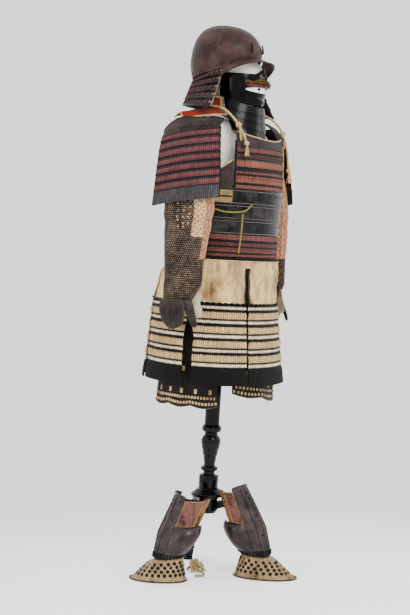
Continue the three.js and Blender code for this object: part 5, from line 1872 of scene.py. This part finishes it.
@fitted
def foot_at(guard, seed, u, t, out=0.0):
    turn = 2 * math.pi * u
    cos, sin = np.cos(turn), np.sin(turn)
    sole_x = 26 + np.where(cos > 0, 92, 84) * guard["sole"] * cos
    sole_y = (63 - 5 * (1 - cos)) * sin
    away, down = 1 - np.cos(math.pi / 2 * t), np.sin(math.pi / 2 * t) ** 1.6
    share = np.clip(t + (away - t) * 0.35, 0, 1)
    x = 37 * cos + (sole_x - 37 * cos) * share ** 0.8
    y = 38 * sin + (sole_y - 38 * sin) * share ** 0.7
    z = (68 - 6 * cos) * (1 - (0.4 * down + 0.6 * share ** 1.5))
    wrinkle = (1.5 * np.sin(7 * turn + seed + 2 * t)
               + 1.1 * np.sin(13 * turn + 2 * seed)) * swell(t, 0.3, 0.3)
    way = points(x - 14, y)
    way = way / np.linalg.norm(way, axis=1)[:, None]
    push = out * 0.7 + wrinkle - 1
    z = np.maximum(z + (out * 0.7 + 0.4 * wrinkle) * (1 - t), 0.2)
    return points(x + way[:, 0] * push, y + way[:, 1] * push, z), \
        points(u * 0.46, t * 0.1)


for hand, guard in GUARDS.items():
    place, at = on_shin(hand), foot_at(guard, 0.7 if hand == "r" else 2.9)
    cover = wall("foot_cover_" + hand, 96, 32, at, 1.6, place, facing="own", ring=True, angle=60)
    finish_piece(cover, "tan_leather", TAN, "foot_guard_" + hand)
    spots = []
    for row, t in enumerate((0.34, 0.47, 0.60, 0.73)):
        count = 16 + row * 3
        for k in range(count):
            u = ((k + 0.5 * (row % 2)) / count) % 1.0 * 0.996 + 0.002
            spots.append(on_surface(at, place, u, t, 0.15))
    holes = many("foot_dots_" + hand, dome_seed(0.0056, 0.0007, 2, 10), spots)
    finish_piece(holes, "tan_leather", BLACK_CORD)
    sole = line_across(at, place, 0.985, 0.0, 110, (0, 1), closed=True)
    sole[:, 2] = np.maximum(sole[:, 2], 0.0031)
    cuff = line_across(at, place, 0.02, 0.0, 70, (0, 1), closed=True)
    bindings = [tube("sole", sole, 0.0027, 8, closed=True), tube("cuff", cuff, 0.0020, 8, closed=True)]
    finish_piece(joined("foot_binding_" + hand, bindings), "tan_leather", EDGING)
print("foot covers done")

# %% [markdown]
# ## Side opening and armhole
# The cuirass opens at the wearer's right. Under each arm its edge is a leather panel bound in
# cream. Below the right one hang two rows of gold braid that tie the two halves.

# %% Side opening
GOLD = woven("gold braid", colour(186, 162, 118), colour(112, 90, 60), 0.0008, 0.8)


def tab_at(u, t, out=0.0):
    bearing = math.radians(49) + math.radians(31) * u
    z = 1149 - 37 * t
    band = 2.2 * np.sqrt(np.clip(1 - (2 * ((t * 2) % 1) - 1) ** 2, 0, 1))
    return oval(CUIRASS, bearing, z, 4.2 + band + out), points(u * 0.09, t * 0.04)


tab = wall("side_braids", 48, 24, tab_at, 2.4)
finish_piece(tab, "silk_cord", GOLD, "side_tab")
run_round("side_braid_line", 49.5, 79.5, 1130.5, 7.0, 0.0014, BLACK_CORD, "silk_cord")


@fitted
def armhole_at(side, u, t, out=0.0):
    bearing = side * (math.radians(50) + math.radians(36) * u)
    top = 1240 - 64 * u ** 0.8
    z = top + (1156 - top) * t
    return oval(CUIRASS, bearing, z, 0.6 + out), points(u * 0.1, t * 0.08)


for hand, side in (("r", 1), ("l", -1)):
    at = armhole_at(side)
    panel = wall("armhole_panel_" + hand, 24, 12, at, 1.8)
    finish_piece(panel, "black_lacquer", STRAP)
    line = line_across(at, on_post, 0.0, 0.6, 40, (0.02, 0.98))
    piping("armhole_piping_" + hand, line, 0.0022, PIPING, "red_laced")
print("side opening done")

# %% [markdown]
# ## Knots, tassels and ties
# A helmet cord ends in a knot with a tassel of loose threads. The knot is three crossed turns
# of cord. The tassel's threads start together and spread a little.

# %% Knots and tassels
random.seed(3)


def knot(name, centre, radius):
    pieces = []
    for tilt in (0.0, 1.1, 2.2):
        a = np.linspace(0, 2 * math.pi, 26, endpoint=False)
        ring = points(np.cos(a) * radius, np.sin(a) * radius * 0.75,
                      0.35 * radius * np.sin(2 * a))
        pieces.append(tube("turn", turned_x(ring, tilt, 0) + centre, 0.0026, 8, closed=True))
    return finish_piece(joined(name, pieces), "silk_cord", SILK_CORD)


def tassel(name, start, length, threads, lean=(0, 0)):
    pieces = []
    for _ in range(threads):
        a, r = random.uniform(0, 2 * math.pi), random.uniform(0.0008, 0.0042)
        t = np.linspace(0, 1, 7)[:, None]
        drift = np.array([math.cos(a) * r * 2.4 + lean[0], math.sin(a) * r * 1.6 + lean[1],
                          -length * random.uniform(0.86, 1.0)])
        line = start + np.array([math.cos(a) * r * 0.4, math.sin(a) * r * 0.4, 0]) + drift * t
        line[:, 0] += 0.0012 * np.sin(t[:, 0] * 5 + a)
        pieces.append(tube("thread", line, 0.0009, 5))
    return finish_piece(joined(name, pieces), "silk_cord", SILK_CORD)


for node in ("neck_cord_r", "neck_cord_l"):
    end = cords[node]["path"][-1]
    cords[node]["with"] = [knot(node + "_knot", end + [0, -0.001, -0.002], 0.0062),
                           tassel(node + "_tassel", end + [0, -0.003, -0.006], 0.034, 16)]
for node, share_along in (("neck_cord_r", 0.62), ("neck_cord_l", 0.5)):
    path = cords[node]["path"]
    spot = path[int(len(path) * share_along)]
    cords[node]["with"] += [
        knot(node + "_bow", spot + [0, -0.001, 0.0], 0.0078),
        tassel(node + "_bow_ends", spot + [0, -0.006, -0.004], 0.042, 9, (0.006, -0.003))]

# %% [markdown]
# The straw tie ends in a loose wad of straw on the floor. A small bow of the same straw is
# tied at the right ankle.

# %% Straw wad and ankle bow
straw_end = cords["foot_tie"]["path"][-1]
wad = []
for _ in range(30):
    a = random.uniform(0, 2 * math.pi)
    t = np.linspace(0, 1, 12)
    r = 0.003 + 0.028 * t * random.uniform(0.4, 1.0)
    rise = 0.005 + 0.032 * np.sin(math.pi * t) * random.uniform(0.3, 1.0)
    line = points(straw_end[0] + r * np.cos(a + 2.2 * t), straw_end[1] + r * np.sin(a + 2.2 * t),
                  np.maximum(0.0042, rise))
    wad.append(tube("straw", line, 0.0027, 6))
cords["foot_tie"]["with"] = [finish_piece(joined("straw_wad", wad), "straw", STRAW)]

ankle = shin_point(GUARDS["r"], np.array([math.radians(-30)]), np.array([104.0]), 6.0)
spot = on_shin("r")(ankle)[0]
t = np.linspace(0, 2 * math.pi, 20)
loops = []
for way, rise in ((0.5, 1), (2.1, 1), (4.0, -1), (5.2, -1)):
    loop = points(0.007 * np.sin(t) * np.cos(way), 0.007 * np.sin(t) * np.sin(way),
                  0.012 * np.sin(t / 2) ** 2 * rise)
    loops.append(tube("loop", spot + loop, 0.0024, 8))
finish_piece(joined("ankle_bow", loops), "straw", STRAW)
print("ties", {k: [p.name for p in v.get("with", [])] for k, v in cords.items()})

# %% [markdown]
# ## Floor and light
# The armour stands on a wide pale floor. A little way past the stand the floor takes on the
# same light tone as the surrounding, so that the two meet without a line. Three large soft
# lamps and the bright surrounding light it.

# %% Floor, surrounding and lamps
deselect()
bpy.ops.mesh.primitive_plane_add(size=60)
floor = bpy.context.object
floor.name = "studio_floor"
SURROUNDING = 1.6  # how bright the surrounding is
FLOOR_GLOW = 0.5  # how much of its own light the floor gives under the armour
PALE_FROM, PALE_TO = 0.62, 1.55  # metres from the middle of the patch of plain floor
FLOOR_TONE, WALL_TONE = (0.90, 0.90, 0.90, 1), (0.985, 0.99, 1.0, 1)
f = Finish("studio floor")
shifted = f.add("VectorMath", {0: f.spot(), 1: (-AXIS[0] / 1000 + 0.17, -AXIS[1] / 1000 + 0.34, 0)},
                operation="ADD")
reach = f.add("VectorMath", {0: shifted}, out=1, operation="LENGTH")
far = f.between(reach, PALE_FROM, PALE_TO)
floor.data.materials.append(f.surface(
    f.mix(far, FLOOR_TONE, (0, 0, 0, 1)), 1.0, Specular_IOR_Level=0.0,
    Emission_Color=WALL_TONE, Emission_Strength=f.between(far, 0.0, 1.0, FLOOR_GLOW, SURROUNDING)))

world = bpy.data.worlds.new("studio")
bpy.context.scene.world = world
world.use_nodes = True
background = world.node_tree.nodes["Background"]
background.inputs["Color"].default_value = WALL_TONE
background.inputs["Strength"].default_value = SURROUNDING


def lamp(name, place, target, size, power, tint=(1, 1, 1)):
    data = bpy.data.lights.new(name, "AREA")
    data.shape, data.size, data.energy, data.color = "SQUARE", size, power, tint
    obj = placed(name, data)
    way = Vector(target) - Vector(place)
    obj.matrix_world = (Matrix.Translation(place)
                        @ way.to_track_quat("-Z", "Y").to_matrix().to_4x4())
    return obj


lamp("key lamp", (-1.6, -2.9, 3.4), (0, 0, 0.9), 1.6, 120)
lamp("side lamp", (-3.4, 0.9, 2.0), (0, 0, 0.9), 1.8, 42)
lamp("far lamp", (2.6, -2.2, 2.6), (0, 0, 1.0), 1.6, 24)
print("lamps and floor set")

# %% [markdown]
# ## The free cords
# The length of each free cord's line is worked out.

# %% Cord lengths
for node, cord in cords.items():
    path_length(cord["path"])
